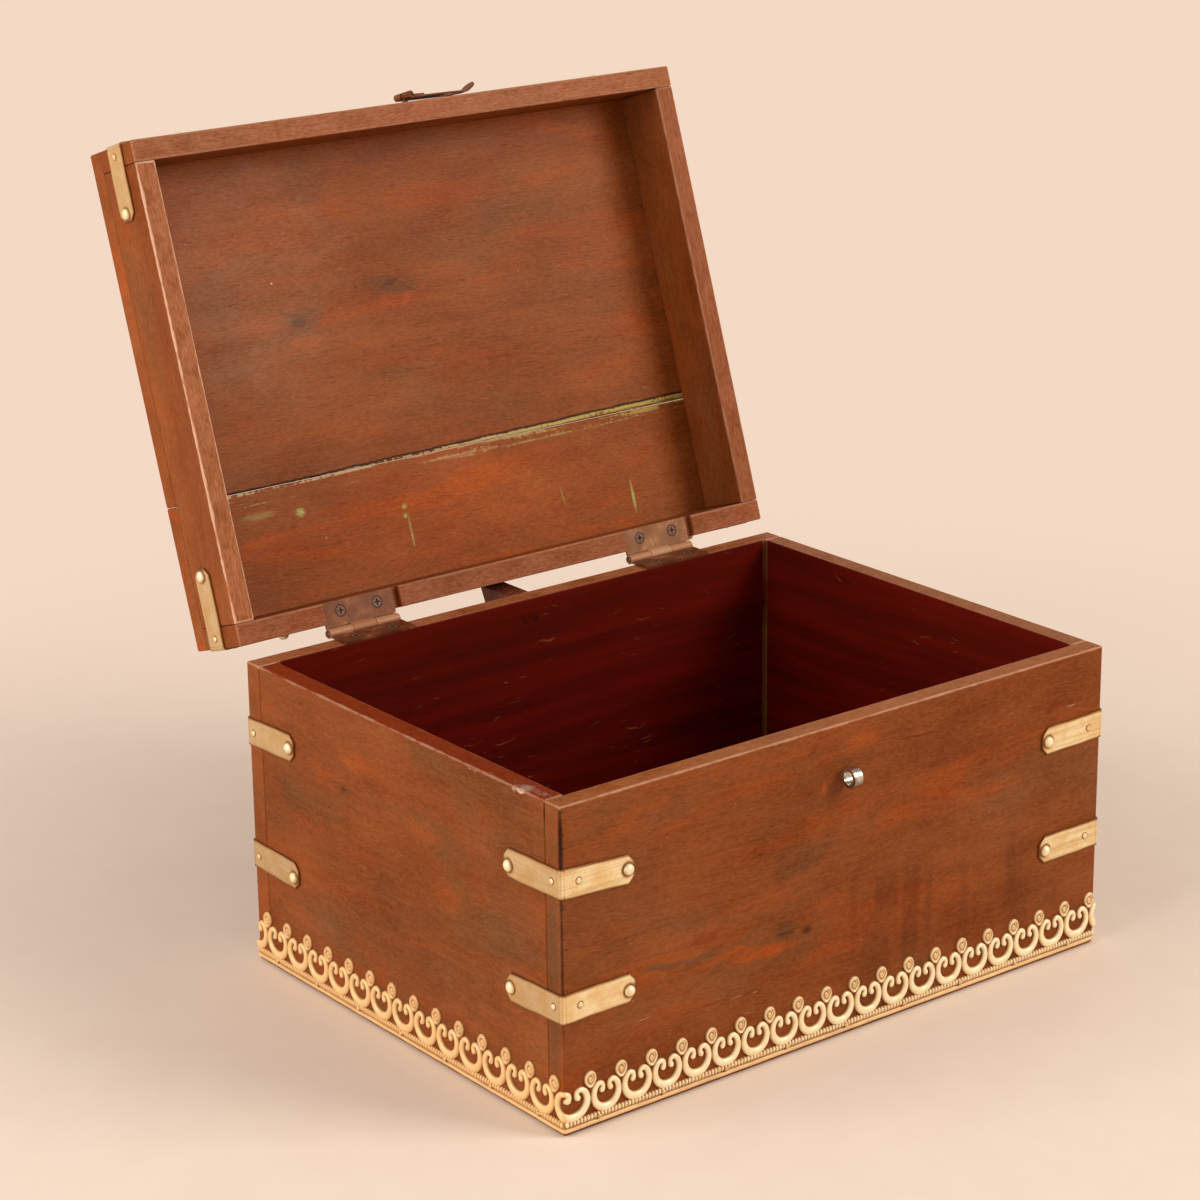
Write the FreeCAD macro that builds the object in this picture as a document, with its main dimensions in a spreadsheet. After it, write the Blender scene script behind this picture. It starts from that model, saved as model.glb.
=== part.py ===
import FreeCAD
import Part
import Sketcher
import os

# Wooden storage box with a hinged lid, brass corner straps and a brass gallery strip round the foot.
# Frame: X along the width, front towards -Y, +Z up. The origin is on the bottom face, under the middle.
# The lid is drawn shut and then turned open about the hinge axis until its back rests on the stop block.

doc = FreeCAD.newDocument("storage_box")
sheet = doc.addObject("Spreadsheet::Sheet", "dims")

SIZES = {
    # carcass
    "box_width": "305",
    "box_depth": "228.6",
    "box_height": "143.5",
    "board": "10",
    "bottom_board": "6",
    "arris": "0.8",
    "joint_gap": "0.1",
    # lid
    "rail_height": "30",
    "top_board": "9.2",
    "lid_gap": "0.2",
    "top_joint_share": "0.71",
    "open_angle": "108.4",
    # corner straps
    "strap_width": "13",
    "strap_sheet": "0.8",
    "strap_leg": "37",
    "strap_clip": "3.4",
    "strap_drop": "33.5",
    "strap_low": "54.5",
    "lid_strap_rise": "19",
    # fasteners
    "dome_radius": "2.5",
    "dome_rise": "2",
    "dome_shank": "0.9",
    "dome_length": "8.5",
    "dome_inset": "3.6",
    "pin_radius": "1.45",
    "pin_rise": "0.4",
    "pin_shank": "0.6",
    "pin_length": "7.5",
    "pin_far": "8.2",
    "pin_near": "4.6",
    "brad_radius": "0.8",
    "brad_length": "18",
    "brad_head": "1.4",
    "brad_sink": "0.8",
    "brad_span_share": "0.36",
    "brad_edge_share": "0.42",
    "brad_side_share": "0.2",
    # gallery strip
    "foot_gap": "1.4",
    "rail_band": "2.9",
    "rail_thick": "1.7",
    "bead_band": "3.1",
    "sheet_thick": "1",
    "ring_radius": "7.2",
    "ring_bore": "3.7",
    "ring_sink": "0.8",
    "finial_radius": "3.1",
    "finial_height": "24.4",
    "stem_width": "3",
    "motif_pitch": "16.1",
    "strip_pin_radius": "1.05",
    "strip_pin_count": "9",
    "strip_pin_end_count": "7",
    # hinges
    "hinge_offset": "87",
    "hinge_length": "38",
    "leaf_sheet": "1.2",
    "leaf_gap": "0.2",
    "axis_back": "4.2",
    "knuckle_radius": "2.2",
    "knuckle_gap": "0.3",
    "knuckle_clear": "0.4",
    "hinge_pin_radius": "1",
    "running_fit": "0.05",
    "pin_end_radius": "1.5",
    "pin_end_length": "0.7",
    "mortise_play": "0.4",
    "mortise_overcut": "3.4",
    "screw_pitch": "20",
    "screw_head": "2.5",
    "screw_shank": "1.2",
    "screw_length": "8",
    "screw_cone": "1",
    "screw_slot": "0.6",
    "screw_slot_length": "2.6",
    "screw_slot_depth": "0.6",
    # front staple
    "lock_offset": "-2",
    "staple_drop": "23",
    "staple_radius": "4.3",
    "staple_bore": "3",
    "staple_width": "4.5",
    "staple_reach": "5.2",
    "staple_stem": "2",
    "clinch_sheet": "0.8",
    "clinch_reach": "6",
    # hasp
    "hasp_rise": "5",
    "hasp_swing": "98",
    "swivel_radius": "1.6",
    "swivel_head": "3.6",
    "swivel_head_sheet": "1",
    "swivel_play": "0.3",
    "bar_radius": "1.2",
    "bar_standoff": "3.3",
    "hasp_width": "11",
    "hasp_sheet": "1",
    "hasp_roll": "2.2",
    "hasp_fold": "12",
    "hasp_length": "35.5",
    "hasp_notch": "4.4",
    "hasp_slot_width": "6",
    "hasp_slot_play": "0.9",
    "hasp_neck": "4",
    "hasp_neck_length": "3",
    "hasp_paddle": "7.4",
    "hasp_paddle_length": "8",
    "hasp_curl": "32",
    # rear stop block
    "stop_offset": "-2.5",
    "stop_width": "12",
    "stop_height": "30",
    "stop_play": "0.1",
    "stop_toe_share": "0.3",
    "stop_nail_share": "0.35",
    # values that follow from those above
    "half_width": "=box_width / 2",
    "half_depth": "=box_depth / 2",
    "end_length": "=box_depth - 2 * board - 2 * joint_gap",
    "inner_width": "=box_width - 2 * board - 2 * joint_gap",
    "lid_base": "=box_height + lid_gap",
    "rail_top": "=lid_base + rail_height",
    "strap_high": "=box_height - strap_drop",
    "lid_strap_level": "=lid_base + lid_strap_rise",
    "axis_y": "=half_depth + axis_back",
    "axis_z": "=box_height + leaf_sheet + leaf_gap / 2",
    "axis_lift": "=axis_z - box_height",
    "lid_cos": "=cos(open_angle)",
    "lid_sin": "=sin(open_angle)",
    "lid_shift_y": "=axis_y - axis_y * lid_cos - axis_z * lid_sin",
    "lid_shift_z": "=axis_z + axis_y * lid_sin - axis_z * lid_cos",
    "leaf_width": "=board + axis_back",
    "mortise_depth": "=2 * leaf_sheet + leaf_gap - lid_gap",
    "knuckle_length": "=(hinge_length - 2 * knuckle_gap) / 3",
    "stop_depth": "=axis_back - (axis_back + lid_sin * axis_lift) / lid_cos - stop_play",
    "pivot_z": "=lid_base + hasp_rise",
    "staple_z": "=box_height - staple_drop",
    "slot_reach": "=pivot_z - staple_z",
    "slot_half": "=staple_radius + hasp_slot_play",
    "top_joint": "=box_depth * top_joint_share - half_depth",
    "front_count": "=round(box_width / motif_pitch)",
    "end_count": "=round(box_depth / motif_pitch)",
    "front_pitch": "=box_width / front_count",
    "end_pitch": "=box_depth / end_count",
    "band_top": "=rail_band + bead_band",
    "ring_level": "=band_top + ring_radius - ring_sink",
    "finial_level": "=finial_height - finial_radius",
    "strip_pin_level": "=foot_gap + rail_band + bead_band / 2",
}

for index, (alias, value) in enumerate(SIZES.items()):
    row = str(index + 1)
    sheet.set("A" + row, alias)
    sheet.set("B" + row, value)
    sheet.setAlias("B" + row, alias)
doc.recompute()


def named(expression):
    """Give every word of the expression that is a size its place in the sheet."""
    words = []
    word = ""
    for sign in expression + " ":
        if sign.isalnum() or sign == "_":
            word += sign
            continue
        words.append("dims." + word if word in SIZES else word)
        words.append(sign)
        word = ""
    return "".join(words).strip()


def bind(target, bindings):
    """Tie properties of an object to sizes of the sheet."""
    for path, expression in bindings.items():
        target.setExpression(path, named(expression))
    return target


def place(target, x, y, z):
    """Tie the position of an object to sizes of the sheet."""
    return bind(target, {"Placement.Base.x": x, "Placement.Base.y": y, "Placement.Base.z": z})


def block(name, size, corner):
    """A rectangular solid from its three sizes and its lowest corner."""
    solid = doc.addObject("Part::Box", name)
    bind(solid, {"Length": size[0], "Width": size[1], "Height": size[2]})
    return place(solid, *corner)


TURNS = {
    "+Z": FreeCAD.Rotation(FreeCAD.Vector(0, 0, 1), 0),
    "+X": FreeCAD.Rotation(FreeCAD.Vector(0, 1, 0), 90),
    "-X": FreeCAD.Rotation(FreeCAD.Vector(0, 1, 0), -90),
    "+Y": FreeCAD.Rotation(FreeCAD.Vector(1, 0, 0), -90),
    "-Y": FreeCAD.Rotation(FreeCAD.Vector(1, 0, 0), 90),
    "-Z": FreeCAD.Rotation(FreeCAD.Vector(1, 0, 0), 180),
}


def turned(target, way):
    """Point the own +Z of an object along an axis of the frame."""
    target.Placement = FreeCAD.Placement(FreeCAD.Vector(0, 0, 0), TURNS[way])
    return target


def rod(name, radius, length, way, start):
    """A round bar from its start point along an axis of the frame."""
    solid = turned(doc.addObject("Part::Cylinder", name), way)
    bind(solid, {"Radius": radius, "Height": length})
    return place(solid, *start)


def cone(name, radius, end_radius, length, way, start):
    """A round taper from its start point along an axis of the frame."""
    solid = turned(doc.addObject("Part::Cone", name), way)
    bind(solid, {"Radius1": radius, "Radius2": end_radius, "Height": length})
    return place(solid, *start)


def dome(name, radius, rise, way, start):
    """Half of a flattened ball, its flat side at the start point."""
    solid = turned(doc.addObject("Part::Ellipsoid", name), way)
    solid.Angle1 = 0
    bind(solid, {"Radius1": rise, "Radius2": radius, "Radius3": radius})
    return place(solid, *start)


def fused(name, pieces):
    """Several solids made one."""
    solid = doc.addObject("Part::MultiFuse", name)
    solid.Shapes = pieces
    solid.Refine = True
    return solid


def less(name, base, tool):
    """A solid with another taken out of it."""
    solid = doc.addObject("Part::Cut", name)
    solid.Base = base
    solid.Tool = tool
    return solid


def group(name, pieces):
    """Several separate solids kept together."""
    bundle = doc.addObject("Part::Compound", name)
    bundle.Links = pieces
    return bundle


ACROSS = FreeCAD.Vector(1, 0, 0)
ALONG = FreeCAD.Vector(0, 1, 0)


def mirrored(name, source, normal):
    """The same piece on the other side of the middle plane."""
    image = doc.addObject("Part::Mirroring", name)
    image.Source = source
    image.Base = FreeCAD.Vector(0, 0, 0)
    image.Normal = normal
    return image


def origin_plane(body, role):
    """One of the three planes of a body by its role."""
    return next(item for item in body.Origin.OriginFeatures if item.Role == role)


def sketch_on(body, name, role):
    """An empty sketch on one of the planes of a body."""
    sketch = body.newObject("Sketcher::SketchObject", name)
    sketch.AttachmentSupport = [(origin_plane(body, role), "")]
    sketch.MapMode = "FlatFace"
    return sketch


def draw_rectangle(sketch, wide, high, left, low):
    """A rectangle from its sizes and its lower left corner."""
    vector = FreeCAD.Vector
    corners = [vector(1, 1, 0), vector(3, 1, 0), vector(3, 3, 0), vector(1, 3, 0)]
    for index, corner in enumerate(corners):
        sketch.addGeometry(Part.LineSegment(corner, corners[(index + 1) % 4]), False)
    for index in range(4):
        sketch.addConstraint(Sketcher.Constraint("Coincident", index, 2, (index + 1) % 4, 1))
    for index in range(4):
        way = ("Horizontal", "Vertical")[index % 2]
        sketch.addConstraint(Sketcher.Constraint(way, index))
    rows = [
        sketch.addConstraint(Sketcher.Constraint("DistanceX", 0, 1, 0, 2, 2)),
        sketch.addConstraint(Sketcher.Constraint("DistanceY", 1, 1, 1, 2, 2)),
        sketch.addConstraint(Sketcher.Constraint("DistanceX", -1, 1, 0, 1, 1)),
        sketch.addConstraint(Sketcher.Constraint("DistanceY", -1, 1, 0, 1, 1)),
    ]
    bind(sketch, {f"Constraints[{row}]": size for row, size in zip(rows, (wide, high, left, low))})


def draw_circle(sketch, radius, level, across):
    """A circle at a level, at a distance to the right of the upright axis."""
    circle = sketch.addGeometry(Part.Circle(FreeCAD.Vector(1, 1, 0), FreeCAD.Vector(0, 0, 1), 1), False)
    radius_row = sketch.addConstraint(Sketcher.Constraint("Radius", circle, 1))
    level_row = sketch.addConstraint(Sketcher.Constraint("DistanceY", -1, 1, circle, 3, 1))
    across_row = sketch.addConstraint(Sketcher.Constraint("DistanceX", -1, 1, circle, 3, 1))
    bind(sketch, {
        f"Constraints[{radius_row}]": radius,
        f"Constraints[{level_row}]": level,
        f"Constraints[{across_row}]": across,
    })


def padded(body, name, sketch, length):
    """A sketch made solid by a length."""
    pad = body.newObject("PartDesign::Pad", name)
    pad.Profile = sketch
    bind(pad, {"Length": length})
    sketch.Visibility = False
    doc.recompute()
    return pad


def plank(name, size, middle):
    """A plank with eased arrises: its three sizes and the middle of its lower face."""
    body = doc.addObject("PartDesign::Body", name)
    sketch = sketch_on(body, name + "_outline", "XZ_Plane")
    draw_rectangle(sketch, size[0], size[2], "board", "board")
    pad = padded(body, name + "_pad", sketch, size[1])
    ease = body.newObject("PartDesign::Fillet", name + "_arrises")
    ease.Base = (pad, ["Edge1"])
    ease.UseAllEdges = True
    bind(ease, {"Radius": "arris"})
    doc.recompute()
    left = f"{middle[0]} - ({size[0]}) / 2 - board"
    return place(body, left, f"{middle[1]} + ({size[1]}) / 2", f"{middle[2]} - board")


def opened(target):
    """Turn a piece of the shut lid about the hinge axis to where the open lid rests."""
    target.Placement = FreeCAD.Placement(FreeCAD.Vector(0, 0, 0), FreeCAD.Rotation(ACROSS, -90))
    bind(target, {"Placement.Rotation.Angle": "-open_angle"})
    return place(target, "0", "lid_shift_y", "lid_shift_z")


NODES = []


def node(label, target):
    """Enter an object as a finished sub-part under its own name."""
    target.Label = label
    NODES.append(target)
    return target


# fasteners of the corner straps
def dome_nail(name, way, start):
    """A nail with a domed head standing on the strap."""
    back = {"+Y": "-Y", "-Y": "+Y", "+X": "-X", "-X": "+X"}[way]
    head = dome(name + "_head", "dome_radius", "dome_rise", way, start)
    shank = rod(name + "_shank", "dome_shank", "dome_length", back, start)
    return fused(name, [head, shank])


def flat_pin(name, way, start, radius="pin_radius"):
    """A small pin with a flat round head standing on the sheet."""
    back = {"+Y": "-Y", "-Y": "+Y", "+X": "-X", "-X": "+X"}[way]
    head = rod(name + "_head", radius, "pin_rise", way, start)
    shank = rod(name + "_shank", "pin_shank", "pin_length", back, start)
    return fused(name, [head, shank])


FACE_X = "-half_width - strap_sheet"
FACE_Y = "-half_depth - strap_sheet"


def quarter_fasteners(name, level):
    """The two domed nails and two flat pins of one strap at the front left corner."""
    domes = [
        dome_nail(name + "_dome_long", "-Y", ("-half_width + strap_leg - dome_inset", FACE_Y, level)),
        dome_nail(name + "_dome_end", "-X", (FACE_X, "-half_depth + strap_leg - dome_inset", level)),
    ]
    pins = [
        flat_pin(name + "_pin_long", "-Y", ("-half_width + pin_far", FACE_Y, level)),
        flat_pin(name + "_pin_end", "-X", (FACE_X, "-half_depth + pin_near", level)),
    ]
    return domes, pins


def all_corners(name, pieces):
    """The pieces of the front left corner at all four corners."""
    first = group(name + "_left_front", pieces)
    front = group(name + "_front", [first, mirrored(name + "_right_front", first, ACROSS)])
    return group(name, [front, mirrored(name + "_rear", front, ALONG)])


high_domes, high_pins = quarter_fasteners("high", "strap_high")
low_domes, low_pins = quarter_fasteners("low", "strap_low")
lid_domes, lid_pins = quarter_fasteners("lid", "lid_strap_level")
body_dome_nails = all_corners("box_dome_group", high_domes + low_domes)
body_strap_pins = all_corners("box_pin_group", high_pins + low_pins)
lid_dome_nails = all_corners("lid_dome_group", lid_domes)
lid_strap_pins = all_corners("lid_pin_group", lid_pins)


# corner straps
def taper_end(name, way, corner):
    """The clipped end of a strap leg."""
    end = doc.addObject("Part::Wedge", name)
    end.Xmin = 0
    end.Ymin = 0
    end.Zmin = 0
    end.X2min = 0
    bind(end, {
        "Xmax": "strap_sheet",
        "X2max": "strap_sheet",
        "Ymax": "strap_clip",
        "Zmax": "strap_width",
        "Z2min": "strap_clip",
        "Z2max": "strap_width - strap_clip",
    })
    angle = {"+Y": 0, "+X": -90}[way]
    end.Placement = FreeCAD.Placement(FreeCAD.Vector(0, 0, 0), FreeCAD.Rotation(FreeCAD.Vector(0, 0, 1), angle))
    return place(end, *corner)


def corner_strap(name, level):
    """A strip bent round the front left corner, both ends clipped."""
    low = level + " - strap_width / 2"
    flat = "strap_leg - strap_clip"
    long_leg = block(name + "_long_leg", (flat, "strap_sheet", "strap_width"), ("-half_width", FACE_Y, low))
    end_leg = block(name + "_end_leg", ("strap_sheet", flat, "strap_width"), (FACE_X, "-half_depth", low))
    long_end = taper_end(name + "_long_end", "+X", ("-half_width + " + flat, "-half_depth", low))
    end_end = taper_end(name + "_end_end", "+Y", (FACE_X, "-half_depth + " + flat, low))
    bend = rod(name + "_bend", "strap_sheet", "strap_width", "+Z", ("-half_width", "-half_depth", low))
    bend.Placement.Rotation = FreeCAD.Rotation(FreeCAD.Vector(0, 0, 1), 180)
    bend.Angle = 90
    return fused(name, [long_leg, end_leg, long_end, end_end, bend])


def strap_set(prefix, level, fasteners, finish):
    """One strap pierced for its fasteners, and its images at the other corners."""
    whole = corner_strap(prefix + "_strap_blank", level)
    strap = less(prefix + "_strap_pierced", whole, fasteners)
    right = mirrored(prefix + "_strap_right", strap, ACROSS)
    rear = mirrored(prefix + "_strap_rear", strap, ALONG)
    rear_right = mirrored(prefix + "_strap_rear_right", right, ALONG)
    for label, piece in (
        ("front_left", strap),
        ("front_right", right),
        ("back_left", rear),
        ("back_right", rear_right),
    ):
        if finish:
            piece = group(f"{prefix}_{label}_open", [piece])
            opened(piece)
        node(f"strap_{prefix}_{label}", piece)


strap_set("upper", "strap_high", group("upper_set", high_domes + high_pins), False)
strap_set("lower", "strap_low", group("lower_set", low_domes + low_pins), False)
strap_set("lid", "lid_strap_level", group("lid_set", lid_domes + lid_pins), True)


# nails that hold the bottom board and the top boards
def brad(name, way, start):
    """A round nail with a small head sunk flush."""
    head = rod(name + "_head", "brad_head", "brad_sink", way, start)
    shank = rod(name + "_shank", "brad_radius", "brad_length", way, start)
    return fused(name, [head, shank])


BRAD_SHARES = ("-brad_span_share", "0", "brad_span_share")
bottom_level = "bottom_board / 2"
front_brads = [
    brad(f"bottom_brad_{index}", "+Y", (f"box_width * ({share})", "-half_depth", bottom_level))
    for index, share in enumerate(BRAD_SHARES)
]
end_brads = [
    brad(f"bottom_end_brad_{index}", "+X", ("-half_width", f"box_depth * ({share})", bottom_level))
    for index, share in enumerate(BRAD_SHARES[::2])
]
front_brad_group = group("front_brad_group", front_brads)
end_brad_group = group("end_brad_group", end_brads)
bottom_nails = group("bottom_nail_group", [
    front_brad_group,
    mirrored("back_brad_group", front_brad_group, ALONG),
    end_brad_group,
    mirrored("right_brad_group", end_brad_group, ACROSS),
])

top_level = "rail_top + top_board"
LID_BRADS = (
    ("-box_width * brad_edge_share", "-half_depth + board / 2"),
    ("0", "-half_depth + board / 2"),
    ("-box_width * brad_edge_share", "half_depth - board / 2"),
    ("0", "half_depth - board / 2"),
    ("-half_width + board / 2", "-box_depth * brad_side_share"),
    ("-half_width + board / 2", "(top_joint + half_depth) / 2"),
)
lid_brads = [
    brad(f"top_brad_{index}", "-Z", (x, y, top_level))
    for index, (x, y) in enumerate(LID_BRADS)
]
lid_edge_brads = group("lid_edge_brads", [lid_brads[0], lid_brads[2], lid_brads[4], lid_brads[5]])
lid_top_nails = group("lid_top_nail_group", [
    lid_edge_brads,
    mirrored("lid_edge_brads_right", lid_edge_brads, ACROSS),
    lid_brads[1],
    lid_brads[3],
])


# gallery strip
def strip_pins(name, way, count, length, fixed):
    """The row of small pins along one side of the gallery strip."""
    row = []
    total = int(float(SIZES[count]))
    for index in range(total):
        along = f"{length} * (2 * {index} + 1) / (2 * {count}) - {length} / 2"
        start = (along, fixed, "strip_pin_level") if way == "-Y" else (fixed, along, "strip_pin_level")
        row.append(flat_pin(f"{name}_{index}", way, start, "strip_pin_radius"))
    return group(name, row)


front_strip_pins = strip_pins(
    "front_strip_pins", "-Y", "strip_pin_count", "box_width", "-half_depth - sheet_thick")
end_strip_pins = strip_pins(
    "end_strip_pins", "-X", "strip_pin_end_count", "box_depth", "-half_width - sheet_thick")
trim_pins = group("trim_pin_group", [
    front_strip_pins,
    mirrored("back_strip_pins", front_strip_pins, ALONG),
    end_strip_pins,
    mirrored("right_strip_pins", end_strip_pins, ACROSS),
])


def repeat(body, name, features, sketch, length, count):
    """A row of features along the strip."""
    pattern = body.newObject("PartDesign::LinearPattern", name)
    pattern.Originals = features
    pattern.Direction = (sketch, ["H_Axis"])
    bind(pattern, {"Length": length, "Occurrences": count})
    body.Tip = pattern
    doc.recompute()
    return pattern


def gallery(name, length, pitch, count, lap):
    """A stamped strip: plain rail, band for the beads, a row of finials and rings between them."""
    body = doc.addObject("PartDesign::Body", name)
    long = f"{length} + 2 * {lap}"
    left = f"{pitch} - {lap}"
    rail_sketch = sketch_on(body, name + "_rail_outline", "XZ_Plane")
    draw_rectangle(rail_sketch, long, "rail_band", left, "foot_gap")
    padded(body, name + "_rail", rail_sketch, "rail_thick")
    band_sketch = sketch_on(body, name + "_band_outline", "XZ_Plane")
    draw_rectangle(band_sketch, long, "band_top", left, "foot_gap")
    padded(body, name + "_band", band_sketch, "sheet_thick")
    stem_sketch = sketch_on(body, name + "_stem_outline", "XZ_Plane")
    stem_low = "foot_gap + band_top - ring_sink"
    stem_high = "finial_level - band_top + ring_sink"
    draw_rectangle(stem_sketch, "stem_width", stem_high, f"{pitch} + {pitch} / 2 - stem_width / 2", stem_low)
    stem = padded(body, name + "_stem", stem_sketch, "sheet_thick")
    knob_sketch = sketch_on(body, name + "_knob_outline", "XZ_Plane")
    draw_circle(knob_sketch, "finial_radius", "foot_gap + finial_level", f"{pitch} + {pitch} / 2")
    knob = padded(body, name + "_knob", knob_sketch, "sheet_thick")
    repeat(body, name + "_finials", [stem, knob], knob_sketch, f"{pitch} * ({count} - 1)", count)
    ring_sketch = sketch_on(body, name + "_ring_outline", "XZ_Plane")
    draw_circle(ring_sketch, "ring_radius", "foot_gap + ring_level", f"{pitch} * 2")
    draw_circle(ring_sketch, "ring_bore", "foot_gap + ring_level", f"{pitch} * 2")
    ring = padded(body, name + "_ring", ring_sketch, "sheet_thick")
    repeat(body, name + "_rings", [ring], ring_sketch, f"{pitch} * ({count} - 2)", f"{count} - 1")
    return body


front_strip = gallery("front_strip", "box_width", "front_pitch", "front_count", "rail_thick")
place(front_strip, "-half_width - front_pitch", "-half_depth", "0")
left_strip = gallery("left_strip", "box_depth", "end_pitch", "end_count", "0")
left_strip.Placement = FreeCAD.Placement(
    FreeCAD.Vector(0, 0, 0), FreeCAD.Rotation(FreeCAD.Vector(0, 0, 1), -90))
place(left_strip, "-half_width", "half_depth + end_pitch", "0")
front_trim = less("front_trim_pierced", front_strip, front_strip_pins)
left_trim = less("left_trim_pierced", left_strip, end_strip_pins)
node("trim_front", front_trim)
node("trim_left", left_trim)
node("trim_back", mirrored("back_trim_pierced", front_trim, ALONG))
node("trim_right", mirrored("right_trim_pierced", left_trim, ACROSS))


# hinges
KNUCKLE_START = "half_depth - board"


def hinge_screw(name, way, start):
    """A countersunk screw with a cross recess, its head flush at the start point, and its blank."""
    head = cone(name + "_cone", "screw_head", "screw_shank", "screw_cone", way, start)
    shank = rod(name + "_shank", "screw_shank", "screw_length", way, start)
    whole = fused(name + "_blank", [head, shank])
    low = start[2] + (" - screw_slot_depth" if way == "-Z" else "")
    first = block(
        name + "_slot_a", ("screw_slot_length", "screw_slot", "screw_slot_depth"),
        (start[0] + " - screw_slot_length / 2", start[1] + " - screw_slot / 2", low))
    second = block(
        name + "_slot_b", ("screw_slot", "screw_slot_length", "screw_slot_depth"),
        (start[0] + " - screw_slot / 2", start[1] + " - screw_slot_length / 2", low))
    return less(name, whole, fused(name + "_cross", [first, second])), whole


def knuckle(name, start, length, radius):
    """A round barrel piece on the hinge axis."""
    return rod(name, radius, length, "+X", (start, "axis_y", "axis_z"))


def hinge(name, middle):
    """A butt hinge of three knuckles: its box leaf, lid leaf, pin and two sets of screws."""
    left = middle + " - hinge_length / 2"
    right = middle + " + hinge_length / 2"
    inner_left = left + " + knuckle_length"
    inner_right = right + " - knuckle_length"
    box_plate = block(
        name + "_box_plate", ("hinge_length", "leaf_width", "leaf_sheet"), (left, KNUCKLE_START, "box_height"))
    box_room = block(
        name + "_box_room",
        ("knuckle_length + 2 * knuckle_gap", "2 * knuckle_radius + knuckle_clear", "2 * knuckle_radius"),
        (inner_left, "axis_y - knuckle_radius - knuckle_clear", "axis_z - knuckle_radius"))
    box_solid = fused(name + "_box_solid", [
        less(name + "_box_open", box_plate, box_room),
        knuckle(name + "_box_knuckle_a", left, "knuckle_length", "knuckle_radius"),
        knuckle(name + "_box_knuckle_b", inner_right, "knuckle_length", "knuckle_radius"),
    ])
    lid_level = "box_height + leaf_sheet + leaf_gap"
    lid_plate = block(
        name + "_lid_plate", ("hinge_length", "leaf_width", "leaf_sheet"), (left, KNUCKLE_START, lid_level))
    room = ("knuckle_length + knuckle_gap", "2 * knuckle_radius + knuckle_clear", "2 * knuckle_radius")
    room_y = "axis_y - knuckle_radius - knuckle_clear"
    room_z = "axis_z - knuckle_radius"
    lid_room = group(name + "_lid_room", [
        block(name + "_lid_room_a", room, (left, room_y, room_z)),
        block(name + "_lid_room_b", room, (inner_right + " - knuckle_gap", room_y, room_z)),
    ])
    lid_solid = fused(name + "_lid_solid", [
        less(name + "_lid_open", lid_plate, lid_room),
        knuckle(name + "_lid_knuckle", inner_left + " + knuckle_gap", "knuckle_length", "knuckle_radius"),
    ])
    pin = fused(name + "_pin_solid", [
        knuckle(name + "_pin_bar", left, "hinge_length", "hinge_pin_radius"),
        knuckle(name + "_pin_end_a", left + " - pin_end_length", "pin_end_length", "pin_end_radius"),
        knuckle(name + "_pin_end_b", right, "pin_end_length", "pin_end_radius"),
    ])
    bore = knuckle(name + "_bore", left, "hinge_length", "hinge_pin_radius + running_fit")
    line = "half_depth - board / 2"
    spots = (middle + " - screw_pitch / 2", middle + " + screw_pitch / 2")
    box_screws = [
        hinge_screw(f"{name}_box_screw_{index}", "-Z", (spot, line, "box_height + leaf_sheet"))
        for index, spot in enumerate(spots)
    ]
    lid_screws = [
        hinge_screw(f"{name}_lid_screw_{index}", "+Z", (spot, line, lid_level))
        for index, spot in enumerate(spots)
    ]
    mortise = block(
        name + "_mortise",
        ("hinge_length + mortise_play + mortise_overcut", "2 * board", "mortise_depth"),
        (left + " - mortise_play", "half_depth - board - board / 2", "lid_base"))
    box_tools = group(name + "_box_tools", [pin] + [blank for _, blank in box_screws])
    lid_tools = group(name + "_lid_tools", [bore] + [blank for _, blank in lid_screws])
    box_leaf = less(name + "_box_leaf_bored", box_solid, box_tools)
    lid_leaf = less(name + "_lid_leaf_bored", lid_solid, lid_tools)
    node(name + "_box_leaf", box_leaf)
    node(name + "_lid_leaf", opened(lid_leaf))
    node(name + "_pin", pin)
    return [screw for screw, _ in box_screws], [screw for screw, _ in lid_screws], mortise


left_box_screws, left_lid_screws, left_mortise = hinge("hinge_left", "-hinge_offset")
right_box_screws, right_lid_screws, right_mortise = hinge("hinge_right", "hinge_offset")
box_hinge_screws = group("box_screw_group", left_box_screws + right_box_screws)
lid_hinge_screws = group("lid_screw_group", left_lid_screws + right_lid_screws)

# front staple: a bent strip with its legs clinched inside the box
STAPLE_LEFT = "lock_offset - staple_width / 2"
STAPLE_Y = "-half_depth - staple_reach"
staple_stem = block(
    "staple_stem_bar",
    ("staple_width", "staple_reach - staple_bore + board", "staple_stem"),
    (STAPLE_LEFT, STAPLE_Y + " + staple_bore", "staple_z - staple_stem / 2"))
staple_loop = rod("staple_loop", "staple_radius", "staple_width", "+X", (STAPLE_LEFT, STAPLE_Y, "staple_z"))
staple_eye = rod("staple_eye", "staple_bore", "staple_width", "+X", (STAPLE_LEFT, STAPLE_Y, "staple_z"))
staple_clinch = block(
    "staple_clinch",
    ("staple_width", "clinch_sheet", "2 * clinch_reach"),
    (STAPLE_LEFT, "-half_depth + board", "staple_z - clinch_reach"))
front_staple = less("staple_bored", fused("staple_solid", [staple_loop, staple_stem, staple_clinch]), staple_eye)
node("front_staple", front_staple)

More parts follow.
